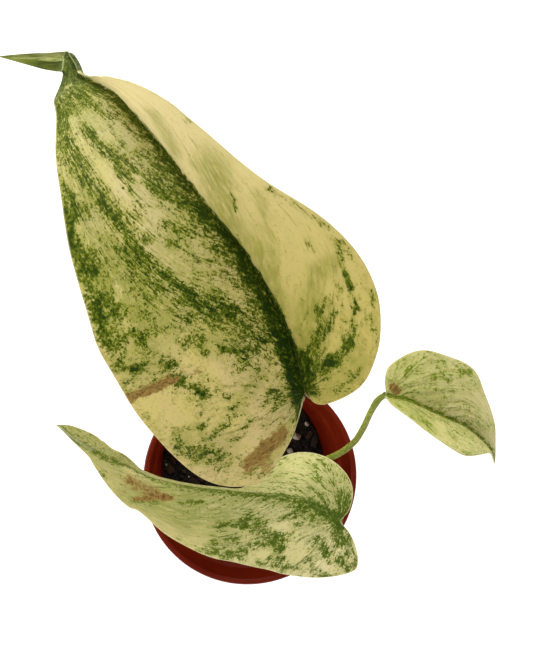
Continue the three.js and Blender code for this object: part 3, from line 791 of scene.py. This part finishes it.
def blade_piece(size, materials):
    blade = Blade(size)
    shape = blade.shape
    flat = []
    veins = []
    marks = []

    def place(across, row):
        column = 2 * across - 1
        share = abs(column) ** COLUMN_POWER
        side = "left" if column < 0 else "right"
        along, out, inward = blade.spot(row, share, side)
        point = blade.surface(along, out, side)
        swing = math.sin(2 * math.pi * shape["waves"] * row + SIDES[side]) * math.sin(math.pi * row)
        point.z += shape["wave"] * share**2 * swing
        flat.append((along, SIDES[side] * out, inward))
        veins.append((*blade.vein(along, out, side), SIDES[side] * min(out, 1.0)))
        marks.append(blade.marks(along, out, side))
        return point

    piece = grid_piece(shape["columns"], shape["rows"], place)
    put(piece, "flat", "FLOAT_VECTOR", flat)
    put(piece, "veins", "FLOAT_VECTOR", veins)
    put(piece, "marks", "FLOAT_VECTOR", marks)
    carve(piece, flat, veins, blade)
    weld(piece)
    if sum(face.normal.z * face.area for face in piece.data.polygons) < 0:
        piece.data.flip_normals()
    for material in materials:
        piece.data.materials.append(material)
    thicken(piece, blade)
    shade_smooth(piece)
    finish_piece(piece, f"leaf_{size}", f"leaf_blade_{size}", shape["slot"])


def carve(piece, flat, veins, blade):
    """Sinks the midrib and the side veins a little, so that the blade swells between them."""
    spacing = blade.shape["vein_spacing"]
    normals = [normal.vector.copy() for normal in piece.data.vertex_normals]
    for vertex, normal, (along, out, inward), (start, _, _) in zip(piece.data.vertices, normals, flat, veins):
        away = abs((start / spacing + 0.5) % 1 - 0.5) * spacing
        fade = ease(inward / SWELL_START) * ease(abs(out) / SWELL_START)
        swell = SWELL * fade * ease(away / (spacing * 0.45))
        groove = GROOVE * bell(out, GROOVE_WIDTH) * ease(inward / 1.5) * blade.open_crease(along)
        vertex.co += normal * (swell - groove)


def thicken(piece, blade):
    """Gives the sheet its thickness: more under the midrib, less at the margin and towards the tip."""
    ribs = piece.vertex_groups.new(name="thickness")
    for i, place in enumerate(piece.data.attributes["flat"].data):
        along, out, inward = place.vector
        rib = bell(out, RIB_WIDTH) * ease(inward / 2) * (1 - blade.fraction(along)) * blade.open_crease(along)
        share = min(SHEET_SHARE + (1 - SHEET_SHARE) * rib, MARGIN_SHARE + MARGIN_GAIN * inward)
        ribs.add([i], share, "REPLACE")
    apply_modifier(
        piece, "SOLIDIFY", thickness=RIB_THICKNESS, offset=-1.0, use_rim=True, vertex_group="thickness",
        thickness_vertex_group=0.0, material_offset=1, material_offset_rim=2, use_even_offset=False,
    )


# Colours of a blade, as (near the joint, towards the tip) or as one colour.
# The large leaf's far_cream grows paler towards the tip as painted light, a glow of light through that half,
# over its own pale cream.
PALETTES = {
    "large": {
        "cream": ((206, 184, 130), (202, 192, 144)), "yellow": ((206, 190, 116), (200, 190, 126)),
        "far_cream": ((200, 184, 112), (246, 231, 186)), "wash": (122, 130, 46), "halo": (140, 142, 60),
        "leaf_green": ((84, 96, 8), (99, 107, 28)), "deep_green": ((14, 40, 0), (50, 65, 5)),
        "vein": (116, 124, 44),
    },
    "medium": {
        "cream": ((234, 222, 168), (206, 190, 136)), "yellow": ((222, 212, 146), (200, 188, 122)),
        "far_cream": ((205, 195, 141), (188, 180, 118)), "wash": (122, 134, 56), "halo": (160, 164, 92),
        "leaf_green": ((94, 110, 28), (112, 120, 46)), "deep_green": ((56, 76, 8), (76, 88, 20)),
        "vein": (122, 136, 66),
    },
    "small": {
        "cream": ((214, 204, 152), (214, 204, 158)), "yellow": ((206, 198, 136), (208, 200, 144)),
        "far_cream": ((204, 196, 130), (212, 204, 142)), "wash": (142, 150, 66), "halo": (168, 172, 98),
        "leaf_green": ((118, 132, 40), (124, 136, 50)), "deep_green": ((86, 100, 16), (96, 108, 26)),
        "vein": (134, 144, 60),
    },
}
SOFTNESS = {"large": 0.0, "medium": 0.0, "small": 0.3}
DOTTED = {"large": 0.85, "medium": 0.5, "small": 0.3}
FAR_THROUGH = {"large": 0.25, "medium": 0.0, "small": 0.0}
THROUGH = (216, 208, 142)
UNDERSIDE = (176, 176, 124)
STAIN = ((142, 100, 50), (74, 48, 18))
STAIN_EDGE = (158, 130, 70)


def blade_colour(finish, size):
    """The marbling of a blade, with some painted light and shade: its colour, how green it is, and the lines
    of its side veins.
    """
    palette = PALETTES[size]
    softness = SOFTNESS[size]
    spacing = BLADES[size]["vein_spacing"]
    flat = finish.attribute("flat")
    veins = finish.attribute("veins")
    green, washed, stained = finish.parts(finish.attribute("marks"))
    along, out, inward = finish.parts(flat)
    start, _, side = finish.parts(veins)
    tipward = along.rise(10.0, Blade(size).length * 0.75)

    def tint_of(name):
        value = palette[name]
        return finish.blend(tipward, *value) if isinstance(value[0], tuple) else value

    def spread(vector, scale, *settings):
        """Noise with mean 0 and spread about 1."""
        return (finish.noise(vector, scale, *settings) - 0.5) * 8.0

    # Blotches and streaks drawn out along the veins, threads between them, specks and dots.
    shiver = finish.stretch(finish.noise(flat, 0.7, 2, output="Color"), (0.8, 0.8, 0.0))
    drawn = finish.shift(finish.stretch(veins, (0.42, 0.26, 6.0)), shiver)
    streaks = spread(finish.stretch(drawn, (4.0, 1.2, 1.0)), 1.0, 3, 0.6)
    ridge = abs(finish.noise(finish.stretch(drawn, (1.5, 0.7, 1.0)), 1.0, 4, 0.55) - 0.5)
    threads = (1 - ridge * 14).at_least(0.0)
    specks = spread(flat, 2.0, 3, 0.6)
    dots = 0.9 - finish.cells(finish.shift(finish.stretch(flat, (1.3, 1.3, 0.0)), shiver), 1.0) * 2.4
    turn = (start + (finish.noise(flat, 0.12, 1) - 0.5) * 3) / spacing
    away = abs(turn.fract() - 0.5) * spacing
    line = (1 - away.rise(0.0, 0.5)) * inward.rise(0.5, 4.0) * finish.noise(flat, 0.2, 2).rise(0.4, 0.6)
    level = spread(drawn, 1.0, 4, 0.6, 0.8) * 0.5 + spread(flat, 0.95, 4, 0.62, 1.0) * 0.5
    level = level + streaks * 0.45 + specks * 0.4 + dots * 0.45 + threads * 0.8
    level = level + line * 0.8 + green * 4.0 - 2.45
    leafy = level.rise(-0.1 - softness, 0.55 + softness)
    deep = level.rise(0.6 - softness, 1.8 + softness)

    # The colours, one over the other: creams (the far half's with painted glow), washes (some painted shade),
    # haloes, veins, greens, single dots, stains, the large leaf's tip (with painted sheen and highlight) and
    # margin.
    drift = finish.noise(flat, 0.07, 3, 0.6).rise(0.35, 0.65)
    tint = finish.blend(drift, tint_of("cream"), tint_of("yellow"))
    # The far half takes far_cream; on the large leaf its paling towards the tip is painted light.
    tint = finish.blend(side.rise(0.0, 0.4) * (1 - along.rise(82.0, 88.0)), tint, tint_of("far_cream"))
    # Green washes, and on the large leaf's left half painted shade, in the wash colour.
    wash = washed * finish.noise(drawn, 1.5, 5, 0.6).rise(0.25, 0.6)
    tint = finish.blend(wash * 0.85, tint, palette["wash"])
    cloud = finish.noise(flat, 0.3, 3, 0.6).rise(0.35, 0.65)
    tint = finish.blend(level.rise(-1.8, 0.25) * (cloud * 0.5 + 0.42), tint, palette["halo"])
    tint = finish.blend(line * 0.45, tint, palette["vein"])
    tint = finish.blend(leafy, tint, tint_of("leaf_green"))
    tint = finish.blend(deep, tint, tint_of("deep_green"))
    scattered = finish.stretch(finish.shift(flat, finish.stretch(shiver, (0.5, 0.5, 0.0))), (1.7, 1.7, 0.0))
    chance = finish.parts(finish.cells(scattered, 1.0, "Color"))[0]
    dot = (chance * 0.55 - finish.cells(scattered, 1.0) + specks * 0.06).rise(0.02, 0.14)
    tint = finish.blend(dot * (level + chance).rise(-0.4, 0.7) * DOTTED[size], tint, tint_of("deep_green"))
    brown = stained * 1.25 - finish.noise(flat, 1.1, 6, 0.72).rise(0.3, 0.7) * 0.75
    grain = finish.noise(finish.stretch(flat, (2.4, 0.7, 1.0)), 1.0, 5, 0.7).rise(0.42, 0.6)
    tint = finish.blend(brown.rise(-0.05, 0.25) * 0.75, tint, STAIN_EDGE)
    tint = finish.blend(brown.rise(0.1, 0.6) * (grain * 0.35 + 0.6), tint, finish.blend(grain, *STAIN))
    if size == "large":
        tint = tail_colour(finish, tint, flat, along, out)
    by_margin = (1 - inward.rise(0.05, 0.35)) * (1 - along.rise(84.0, 90.0))
    tint = finish.blend(by_margin * 0.6, tint, tint_of("cream"))
    return tint, leafy, line, flat, drawn, along, side


def tail_colour(finish, tint, flat, along, out):
    """The drawn-out tip of the large leaf, beyond the fold at its neck: sage with painted sheen on top, dark
    olive below, and a pale painted highlight along the fold.
    """
    across = abs(out)
    bent = along + across * 1.125
    streak = finish.noise(finish.stretch(flat, (0.25, 1.5, 1.0)), 1.0, 4, 0.6)
    below = (across + along.rise(102, 112) * 0.8).rise(1.0, 1.6)
    olive = finish.blend(streak.rise(0.35, 0.7), (42, 52, 0), (74, 84, 4))
    olive = finish.blend(along.rise(106, 117) * 0.7, olive, (122, 130, 50))
    # The sage strip along the top is partly painted sheen.
    sage_and_sheen = finish.blend(streak.rise(0.35, 0.65), (88, 98, 30), (150, 152, 92))
    tint = finish.blend(bent.rise(101.8, 102.3), tint, finish.blend(below, sage_and_sheen, olive))
    # Painted highlight: a pale line along the fold at the neck.
    return finish.blend((1 - abs(bent - 101.6).rise(0.1, 0.5)) * 0.7, tint, (150, 164, 112))


def blade_finish(size, face):
    finish = Finish(f"blade_{size}_{face}")
    tint, leafy, line, flat, drawn, along, side = blade_colour(finish, size)
    pores = finish.noise(flat, 3.0, 3, 0.6)
    gloss = finish.noise(flat, 0.6, 4)
    closed = 1 - leafy * 0.8
    if face == "top":
        relief = pores * 0.25 + finish.noise(drawn, 1.5, 4) * 0.5 - line * 0.5
        share = (side.rise(0.0, 0.4) * FAR_THROUGH[size] + 0.25) * closed
        return finish.done(tint, gloss * 0.16 + 0.42, 0.08, (relief, 0.25, 0.8), (THROUGH, share))
    tint = finish.blend((1 - along.rise(82.0, 90.0)) * 0.45, tint, UNDERSIDE)
    relief = pores * 0.3 + line * 0.7
    return finish.done(tint, gloss * 0.12 + 0.55, 0.25, (relief, 0.15, 0.6), (THROUGH, closed * 0.25))


def edge_finish():
    """The thin cut-glass margin of a blade."""
    finish = Finish("blade_margin")
    drift = finish.noise(finish.place(), 0.4, 4, 0.6)
    tint = finish.blend(drift.rise(0.35, 0.65), (214, 204, 160), (180, 180, 118))
    along = finish.parts(finish.attribute("flat"))[0]
    tint = finish.blend(along.rise(84.0, 90.0) * 0.85, tint, (104, 120, 62))
    return finish.done(tint, drift * 0.2 + 0.35, 0.3, through=((230, 222, 160), 0.35))


# Petioles and stem.
def tube_piece(route, radius_at, sides, steps, facing):
    """A closed tube along a route. radius_at(fraction, turn) is its radius, turn 0 being the facing side."""
    line = Line(route)
    fractions = []

    def place(across, along):
        distance = line.length * clamp((along - CAP) / (1 - 2 * CAP))
        ahead = line.ahead(distance, 0.5)
        up = (facing - ahead * facing.dot(ahead)).normalized()
        aside = ahead.cross(up)
        turn = 2 * math.pi * across
        closed = along < CAP / 4 or along > 1 - CAP / 4
        radius = 0.0 if closed else radius_at(distance / line.length, turn)
        fractions.append(distance / line.length)
        return line.at(distance) + radius * (math.cos(turn) * up + math.sin(turn) * aside)

    piece = grid_piece(sides, steps, place)
    put(piece, "along", "FLOAT", fractions)
    weld(piece)
    return piece


def petiole_piece(size, material):
    base, middle, top = PETIOLES[size]["radii"]

    def radius_at(fraction, turn):
        if fraction < SHEATH:
            radius = base + (middle - base) * ease(fraction / SHEATH)
        else:
            radius = middle + (top - middle) * (fraction - SHEATH) / (1 - SHEATH)
        off = (turn + math.pi) % (2 * math.pi) - math.pi
        channel = CHANNEL * bell(off, CHANNEL_TURN) * (1 - ease((fraction - CHANNEL_END) / 0.12))
        wings = WING * bell(abs(off) - WING_TURN, WING_WIDTH) * (1 - ease((fraction - WING_END) / 0.25))
        return radius * (1 - channel + wings + JOINT_SWELL * bell(fraction - JOINT, 0.035))

    piece = tube_piece(PETIOLES[size]["route"], radius_at, 28, 150, Vector((0, -0.25, 1)))
    shade_smooth(piece)
    finish_piece(piece, f"petiole_{size}_skin", f"petiole_{size}", "petiole_skin", material)


def petiole_finish():
    finish = Finish("petiole_skin")
    along = finish.attribute("along", "Fac")
    place = finish.place()
    streak = finish.noise(finish.stretch(place, (1.0, 1.0, 0.12)), 1.6, 5, 0.6)
    tint = finish.blend(streak.rise(0.35, 0.65), (98, 110, 30), (138, 140, 58))
    tint = finish.blend((1 - along.rise(0.0, 0.25)) * 0.6, tint, (124, 126, 56))
    tint = finish.blend(along.rise(0.88, 0.95) * 0.5, tint, (84, 98, 24))
    flecks = finish.cells(place, 1.4).rise(0.05, 0.3)
    tint = finish.blend((1 - flecks) * 0.5, tint, (76, 90, 20))
    return finish.done(
        tint, streak * 0.15 + 0.45, 0.15, (streak, 0.12, 0.5), Subsurface_Weight=0.1,
        Subsurface_Radius=(0.0012, 0.0012, 0.0004),
    )


def stem_piece(material):
    """The stem, with its roots turned and stepped round it."""

    def radius_at(fraction, turn):
        swell = NODE_SWELL * max(bell(fraction - node, 0.03) for node in STEM_NODES)
        scar = NODE_SCAR * max(bell(fraction - node - 0.035, 0.008) for node in STEM_NODES)
        crown = 1 - 0.25 * ease((fraction - 0.93) / 0.07)
        ribs = 0.02 * math.sin(5 * turn)
        return (STEM_RADIUS + swell) * crown * (1 - STEM_TAPER * fraction) * (1 - scar + ribs)

    def root_radius(fraction, turn):
        return ROOT_RADIUS - ROOT_TAPER * fraction

    pieces = [tube_piece(STEM_ROUTE, radius_at, 32, 140, Vector((0, -1, 0)))]
    for i in range(ROOT_COUNT):
        route = []
        for t in (0.1, 0.4, 0.7, 1.0):
            turn = 2 * math.pi * (i + 0.3) / ROOT_COUNT + ROOT_TURN * t * t
            level = ROOT_LEVEL + (i % 2) * ROOT_STAGGER - ROOT_DROP * (t + t * t) / 2
            route.append((*around(ROOT_REACH * t, turn), level))
        pieces.append(tube_piece(route, root_radius, 10, 40, Vector((0, 0, 1))))
    piece = join(pieces)
    shade_smooth(piece)
    finish_piece(piece, "stem_skin", "stem", "stem_skin", material)


def stem_finish():
    finish = Finish("stem_skin")
    place = finish.place()
    height = finish.parts(place)[2]
    streak = finish.noise(finish.stretch(place, (1.0, 1.0, 0.3)), 1.2, 6, 0.65)
    tint = finish.blend(streak.rise(0.3, 0.7), (112, 116, 52), (152, 148, 84))
    tint = finish.blend(1 - height.rise(30, 38), tint, (138, 112, 72))
    return finish.done(tint, streak * 0.2 + 0.5, 0.3, (streak, 0.25, 0.7))


# Pot.
def outer_radius(height):
    return POT_BASE_RADIUS + (POT_STEP_RADIUS - POT_BASE_RADIUS) * height / POT_STEP_HEIGHT


def pot_profile():
    """The pot's section, from the middle of its underside out, up, over the lip and down inside."""
    collar_foot = outer_radius(POT_STEP_HEIGHT) + POT_COLLAR_OUT
    collar_top = collar_foot + outer_radius(POT_HEIGHT) - outer_radius(POT_STEP_HEIGHT)
    lip_foot = POT_HEIGHT - POT_LIP_HEIGHT
    corner = POT_FLOOR + POT_CORNER
    return [
        (POT_BASE_RADIUS - POT_FOOT, 0.0),
        (POT_BASE_RADIUS - POT_FOOT * 0.3, POT_FOOT * 0.3),
        (outer_radius(POT_FOOT), POT_FOOT),
        (outer_radius(POT_STEP_HEIGHT), POT_STEP_HEIGHT),
        (collar_foot, POT_STEP_HEIGHT + POT_STEP_RISE),
        (collar_top, lip_foot),
        (POT_LIP_RADIUS, lip_foot + POT_LIP_SLOPE),
        (POT_LIP_RADIUS, POT_HEIGHT - POT_EDGE),
        (POT_LIP_RADIUS - POT_EDGE, POT_HEIGHT),
        (collar_top - POT_WALL + POT_EDGE, POT_HEIGHT),
        (collar_top - POT_WALL, POT_HEIGHT - POT_EDGE),
        (collar_foot - POT_WALL, POT_STEP_HEIGHT + 2 * POT_STEP_RISE),
        (outer_radius(POT_STEP_HEIGHT) - POT_WALL, POT_STEP_HEIGHT + POT_STEP_RISE),
        (outer_radius(corner) - POT_WALL, corner),
        (outer_radius(POT_FLOOR) - POT_WALL - POT_CORNER, POT_FLOOR),
    ]


def pot_piece(material):
    """A ring at the foot, extruded and widened from each point of the section to the next, and closed."""
    profile = pot_profile()
    radius, height = profile[0]
    foot = (0, 0, height)
    bpy.ops.mesh.primitive_circle_add(vertices=POT_SIDES, radius=radius, fill_type="TRIFAN", location=foot)
    piece = bpy.context.object
    bpy.ops.object.mode_set(mode="EDIT")
    bpy.ops.mesh.select_mode(type="EDGE")
    bpy.ops.mesh.select_all(action="SELECT")
    bpy.ops.mesh.region_to_loop()
    for (radius, height), (next_radius, next_height) in zip(profile, profile[1:]):
        bpy.ops.mesh.extrude_edges_move(TRANSFORM_OT_translate={"value": (0, 0, next_height - height)})
        grow = next_radius / radius
        bpy.ops.transform.resize(value=(grow, grow, 1), center_override=(0, 0, next_height))
    bpy.ops.mesh.edge_face_add()
    bpy.ops.mesh.select_all(action="SELECT")
    bpy.ops.mesh.normals_make_consistent(inside=False)
    bpy.ops.object.mode_set(mode="OBJECT")
    for i in range(DRAIN_COUNT):
        turn = 2 * math.pi * i / DRAIN_COUNT
        place = (*around(DRAIN_RING, turn), 0)
        depth = 4 * POT_FLOOR
        bpy.ops.mesh.primitive_cylinder_add(vertices=32, radius=DRAIN_RADIUS, depth=depth, location=place)
        cutter = bpy.context.object
        apply_modifier(piece, "BOOLEAN", operation="DIFFERENCE", object=cutter, solver="EXACT")
        bpy.data.objects.remove(cutter)
    sharp = math.radians(28)
    apply_modifier(piece, "BEVEL", width=POT_BEVEL, segments=3, limit_method="ANGLE", angle_limit=sharp)
    bpy.context.view_layer.objects.active = piece
    piece.select_set(True)
    bpy.ops.object.shade_smooth_by_angle(angle=math.radians(40))
    finish_piece(piece, "pot_shell", "pot", "pot_plastic", material)


def pot_finish():
    finish = Finish("pot_plastic")
    place = finish.place()
    drift = finish.noise(place, 0.06, 4, 0.6)
    fine = finish.noise(place, 1.8, 4, 0.6)
    around = finish.noise(finish.stretch(place, (0.02, 0.02, 1.3)), 1.0, 3)
    tint = finish.blend(drift.rise(0.35, 0.65), (90, 20, 2), (102, 27, 6))
    tint = finish.blend(fine.rise(0.45, 0.75) * 0.25, tint, (116, 36, 12))
    dust = finish.noise(place, 0.35, 7, 0.7).rise(0.56, 0.74)
    tint = finish.blend(dust * 0.12, tint, (138, 80, 52))
    roughness = fine * 0.15 + dust * 0.15 + 0.34
    relief = around * 0.6 + fine * 0.4
    return finish.done(tint, roughness, 0.12, (relief, 0.05, 0.5), ((200, 56, 16), 0.14))


# Potting mix.
def mix_radius(height):
    return outer_radius(height) - POT_WALL - MIX_CLEARANCE


def mix_height(x, y):
    """The top of the mix: a low crown, lumps, grit and hollows."""
    rim = mix_radius(MIX_TOP)
    crown = MIX_CROWN * (1 - (x * x + y * y) / (rim * rim))
    lumps = noise.fractal(Vector((x * 0.22, y * 0.22, 3.0)), 0.9, 2.1, 4) * MIX_LUMPS
    grit = noise.fractal(Vector((x * 1.1, y * 1.1, 9.0)), 0.7, 2.2, 3) * MIX_GRIT
    return MIX_TOP + crown + lumps + grit


def mix_piece(material):
    """A plug: its top from the middle out, then down the pot's wall and in across the foot."""
    floor = POT_FLOOR + MIX_FLOOR_GAP

    def place(across, along):
        turn = -2 * math.pi * across
        if along <= MIX_TOP_ROWS:
            x, y = around(mix_radius(MIX_TOP) * along / MIX_TOP_ROWS, turn)
            return Vector((x, y, mix_height(x, y)))
        down = (along - MIX_TOP_ROWS) / (1 - MIX_TOP_ROWS)
        height = MIX_TOP + (floor - MIX_TOP) * min(down / MIX_WALL_ROWS, 1.0)
        radius = mix_radius(height) * (1 - max(down - MIX_WALL_ROWS, 0.0) / (1 - MIX_WALL_ROWS))
        return Vector((*around(radius, turn), height))

    piece = grid_piece(150, 90, place)
    weld(piece)
    shade_smooth(piece)
    finish_piece(piece, "mix_surface", "potting_mix", "potting_mix", material)


def lump(seed, kind, roughness):
    """A broken piece of bark, or a popped grain: a rounded block pushed about by noise."""
    if kind == "chip":
        bpy.ops.mesh.primitive_cube_add(size=1)
        piece = bpy.context.object
        apply_modifier(piece, "BEVEL", width=0.12, segments=1)
    else:
        bpy.ops.mesh.primitive_ico_sphere_add(subdivisions=2 if kind == "grain" else 1, radius=0.5)
        piece = bpy.context.object
    for vertex in piece.data.vertices:
        push = noise.noise_vector(vertex.co * 1.7 + Vector((seed, 2 * seed, 0)))
        vertex.co += push * roughness
    return piece


def scatter(name, material, models, spots, smooth_up_to=0):
    """Copies of the models, each with its own mesh, at (place, turn, size, tone), joined to one piece. Its
    edges are smooth up to an angle in degrees."""
    pieces = []
    for i, (place, turn, size, tone) in enumerate(spots):
        piece = models[i % len(models)].copy()
        piece.data = piece.data.copy()
        bpy.context.scene.collection.objects.link(piece)
        shape = Matrix.Translation(place) @ turn.to_matrix().to_4x4() @ Matrix.Diagonal((*size, 1))
        piece.data.transform(shape)
        put(piece, "tone", "FLOAT", [tone] * len(piece.data.vertices))
        pieces.append(piece)
    for model in models:
        bpy.data.objects.remove(model)
    piece = join(pieces)
    if smooth_up_to:
        bpy.ops.object.shade_smooth_by_angle(angle=math.radians(smooth_up_to))
    finish_piece(piece, name, None, "potting_mix", material)


def mix_spot(draw, edge):
    """A place on the mix, clear of the pot by the edge."""
    reach = (mix_radius(MIX_TOP) - edge) * math.sqrt(draw.random())
    return around(reach, draw.uniform(0, 2 * math.pi))


def laid(draw, place, size, tilt, darkest=0.0):
    """A spot for scatter, turned any way round and tilted up to the tilt, with a tone up to 1."""
    angles = (draw.uniform(-tilt, tilt), draw.uniform(-tilt, tilt), draw.uniform(0, 2 * math.pi))
    return Vector(place), Euler(angles).to_quaternion(), size, draw.uniform(darkest, 1)


def bark_piece(material):
    draw = random.Random(7)
    spots = []
    while len(spots) < CHIPS:
        x, y = mix_spot(draw, CHIP_EDGE)
        if math.hypot(x, y) < STEM_RADIUS + CHIP_EDGE:
            continue
        length = draw.uniform(*CHIP_SIZE)
        size = (length, length * draw.uniform(0.4, 0.8), length * draw.uniform(0.2, 0.45))
        z = mix_height(x, y) + size[2] * draw.uniform(-0.1, 0.5)
        spots.append(laid(draw, (x, y, z), size, 0.6))
    scatter("bark_chips", material, [lump(seed, "chip", 0.22) for seed in (1.0, 4.0, 9.0, 13.0)], spots, 35)


def fines_piece(material):
    draw = random.Random(23)
    spots = []
    for _ in range(FINES):
        x, y = mix_spot(draw, 0.8)
        across = draw.uniform(*FINE_SIZE)
        size = (across, across * draw.uniform(0.6, 1.0), across * draw.uniform(0.5, 0.9))
        spots.append(laid(draw, (x, y, mix_height(x, y) + across * 0.2), size, 1.5))
    scatter("mix_fines", material, [lump(seed, "crumb", 0.3) for seed in (2.0, 6.0, 11.0)], spots)


def perlite_piece(material):
    draw = random.Random(5)
    spots = []
    for (x, y), radius, height in PERLITE:
        size = (radius * 1.5, radius * 1.4, height * 1.6)
        spots.append(laid(draw, (x, y, MIX_TOP + height * 0.45), size, 0.4, 0.5))
    for _ in range(CRUMBS):
        x, y = mix_spot(draw, 1.0)
        across = draw.uniform(*CRUMB_SIZE)
        spots.append(laid(draw, (x, y, mix_height(x, y) + across * 0.15), (across,) * 3, 1.5))
    scatter("perlite", material, [lump(seed, "grain", 0.34) for seed in (3.0, 8.0, 15.0)], spots, 180)


def mix_finish():
    finish = Finish("mix_dark")
    place = finish.place()
    crumb = finish.noise(place, 1.2, 8, 0.7)
    tint = finish.blend(crumb.rise(0.35, 0.7), (14, 11, 9), (38, 30, 24))
    fibre = finish.noise(finish.stretch(place, (0.5, 3.0, 1.0)), 1.5, 4).rise(0.62, 0.72)
    tint = finish.blend(fibre * 0.5, tint, (66, 48, 32))
    return finish.done(tint, crumb * 0.2 + 0.75, 0.2, (crumb, 0.5, 0.9))


def bark_finish():
    finish = Finish("bark")
    grain = finish.noise(finish.stretch(finish.place(), (1.0, 1.0, 3.0)), 1.3, 6, 0.65)
    tint = finish.blend(finish.attribute("tone", "Fac").rise(0.2, 1.0), (20, 15, 12), (62, 42, 28))
    tint = finish.blend(grain.rise(0.5, 0.75) * 0.6, tint, (88, 62, 42))
    return finish.done(tint, grain * 0.2 + 0.65, 0.25, (grain, 0.3, 0.8))


def perlite_finish():
    finish = Finish("perlite")
    place = finish.place()
    pits = finish.cells(place, 2.2).rise(0.0, 0.5)
    dirt = finish.noise(place, 0.9, 5, 0.65).rise(0.5, 0.72)
    tint = finish.blend(finish.attribute("tone", "Fac"), (150, 138, 122), (196, 186, 168))
    tint = finish.blend(dirt * 0.6, tint, (92, 76, 60))
    tint = finish.blend((1 - pits) * 0.4, tint, (104, 92, 78))
    return finish.done(tint, dirt * 0.1 + 0.8, 0.2, (pits, 0.3, 0.8))


# Floor, lights and camera.
def add_floor():
    bpy.ops.mesh.primitive_plane_add(size=FLOOR_SIZE)
    floor = bpy.context.object
    floor.name = "floor"
    finish = Finish("floor_white")
    tint = finish.blend(finish.noise(finish.place(), 0.003, 2), (240, 239, 237), (243, 242, 240))
    material = finish.done(tint, 0.9, 0.5, Emission_Color=tint, Emission_Strength=FLOOR_GLOW)
    floor.data.materials.append(material)
    floor.select_set(False)


def add_light(name, place, power):
    bpy.ops.object.light_add(type="AREA", location=place)
    light = bpy.context.object
    light.name = name
    light.data.shape = "DISK"
    light.data.size = LIGHT_SIZE
    light.data.energy = power
    light.rotation_euler = (LIT_SPOT - Vector(place)).to_track_quat("-Z", "Y").to_euler()
    light.select_set(False)


def add_world():
    world = bpy.data.worlds.new("studio")
    world.use_nodes = True
    background = world.node_tree.nodes["Background"]
    background.inputs["Color"].default_value = SKY
    background.inputs["Strength"].default_value = SKY_STRENGTH
    bpy.context.scene.world = world


def add_camera():
    right = CAMERA_AHEAD.cross(Vector((0, 1, 0))).normalized()
    up = right.cross(CAMERA_AHEAD).normalized()
    turn = Matrix((right, up, -CAMERA_AHEAD)).transposed().to_4x4()
    bpy.ops.object.camera_add()
    camera = bpy.context.object
    camera.name = "camera"
    camera.matrix_world = Matrix.Translation(CAMERA_PLACE * MM) @ turn
    camera.data.lens = CAMERA_LENS
    camera.data.clip_start = 0.01
    bpy.context.scene.camera = camera
    camera.select_set(False)


add_camera()
edge = edge_finish()
for size in BLADES:
    blade_piece(size, (blade_finish(size, "top"), blade_finish(size, "underside"), edge))
petiole_skin = petiole_finish()
for size in PETIOLES:
    petiole_piece(size, petiole_skin)
stem_piece(stem_finish())
pot_piece(pot_finish())
mix_piece(mix_finish())
bark = bark_finish()
bark_piece(bark)
fines_piece(bark)
perlite_piece(perlite_finish())

add_floor()
for name, (place, power) in LIGHTS.items():
    add_light(name, place, power)
add_world()
bpy.context.scene.view_settings.view_transform = "Standard"
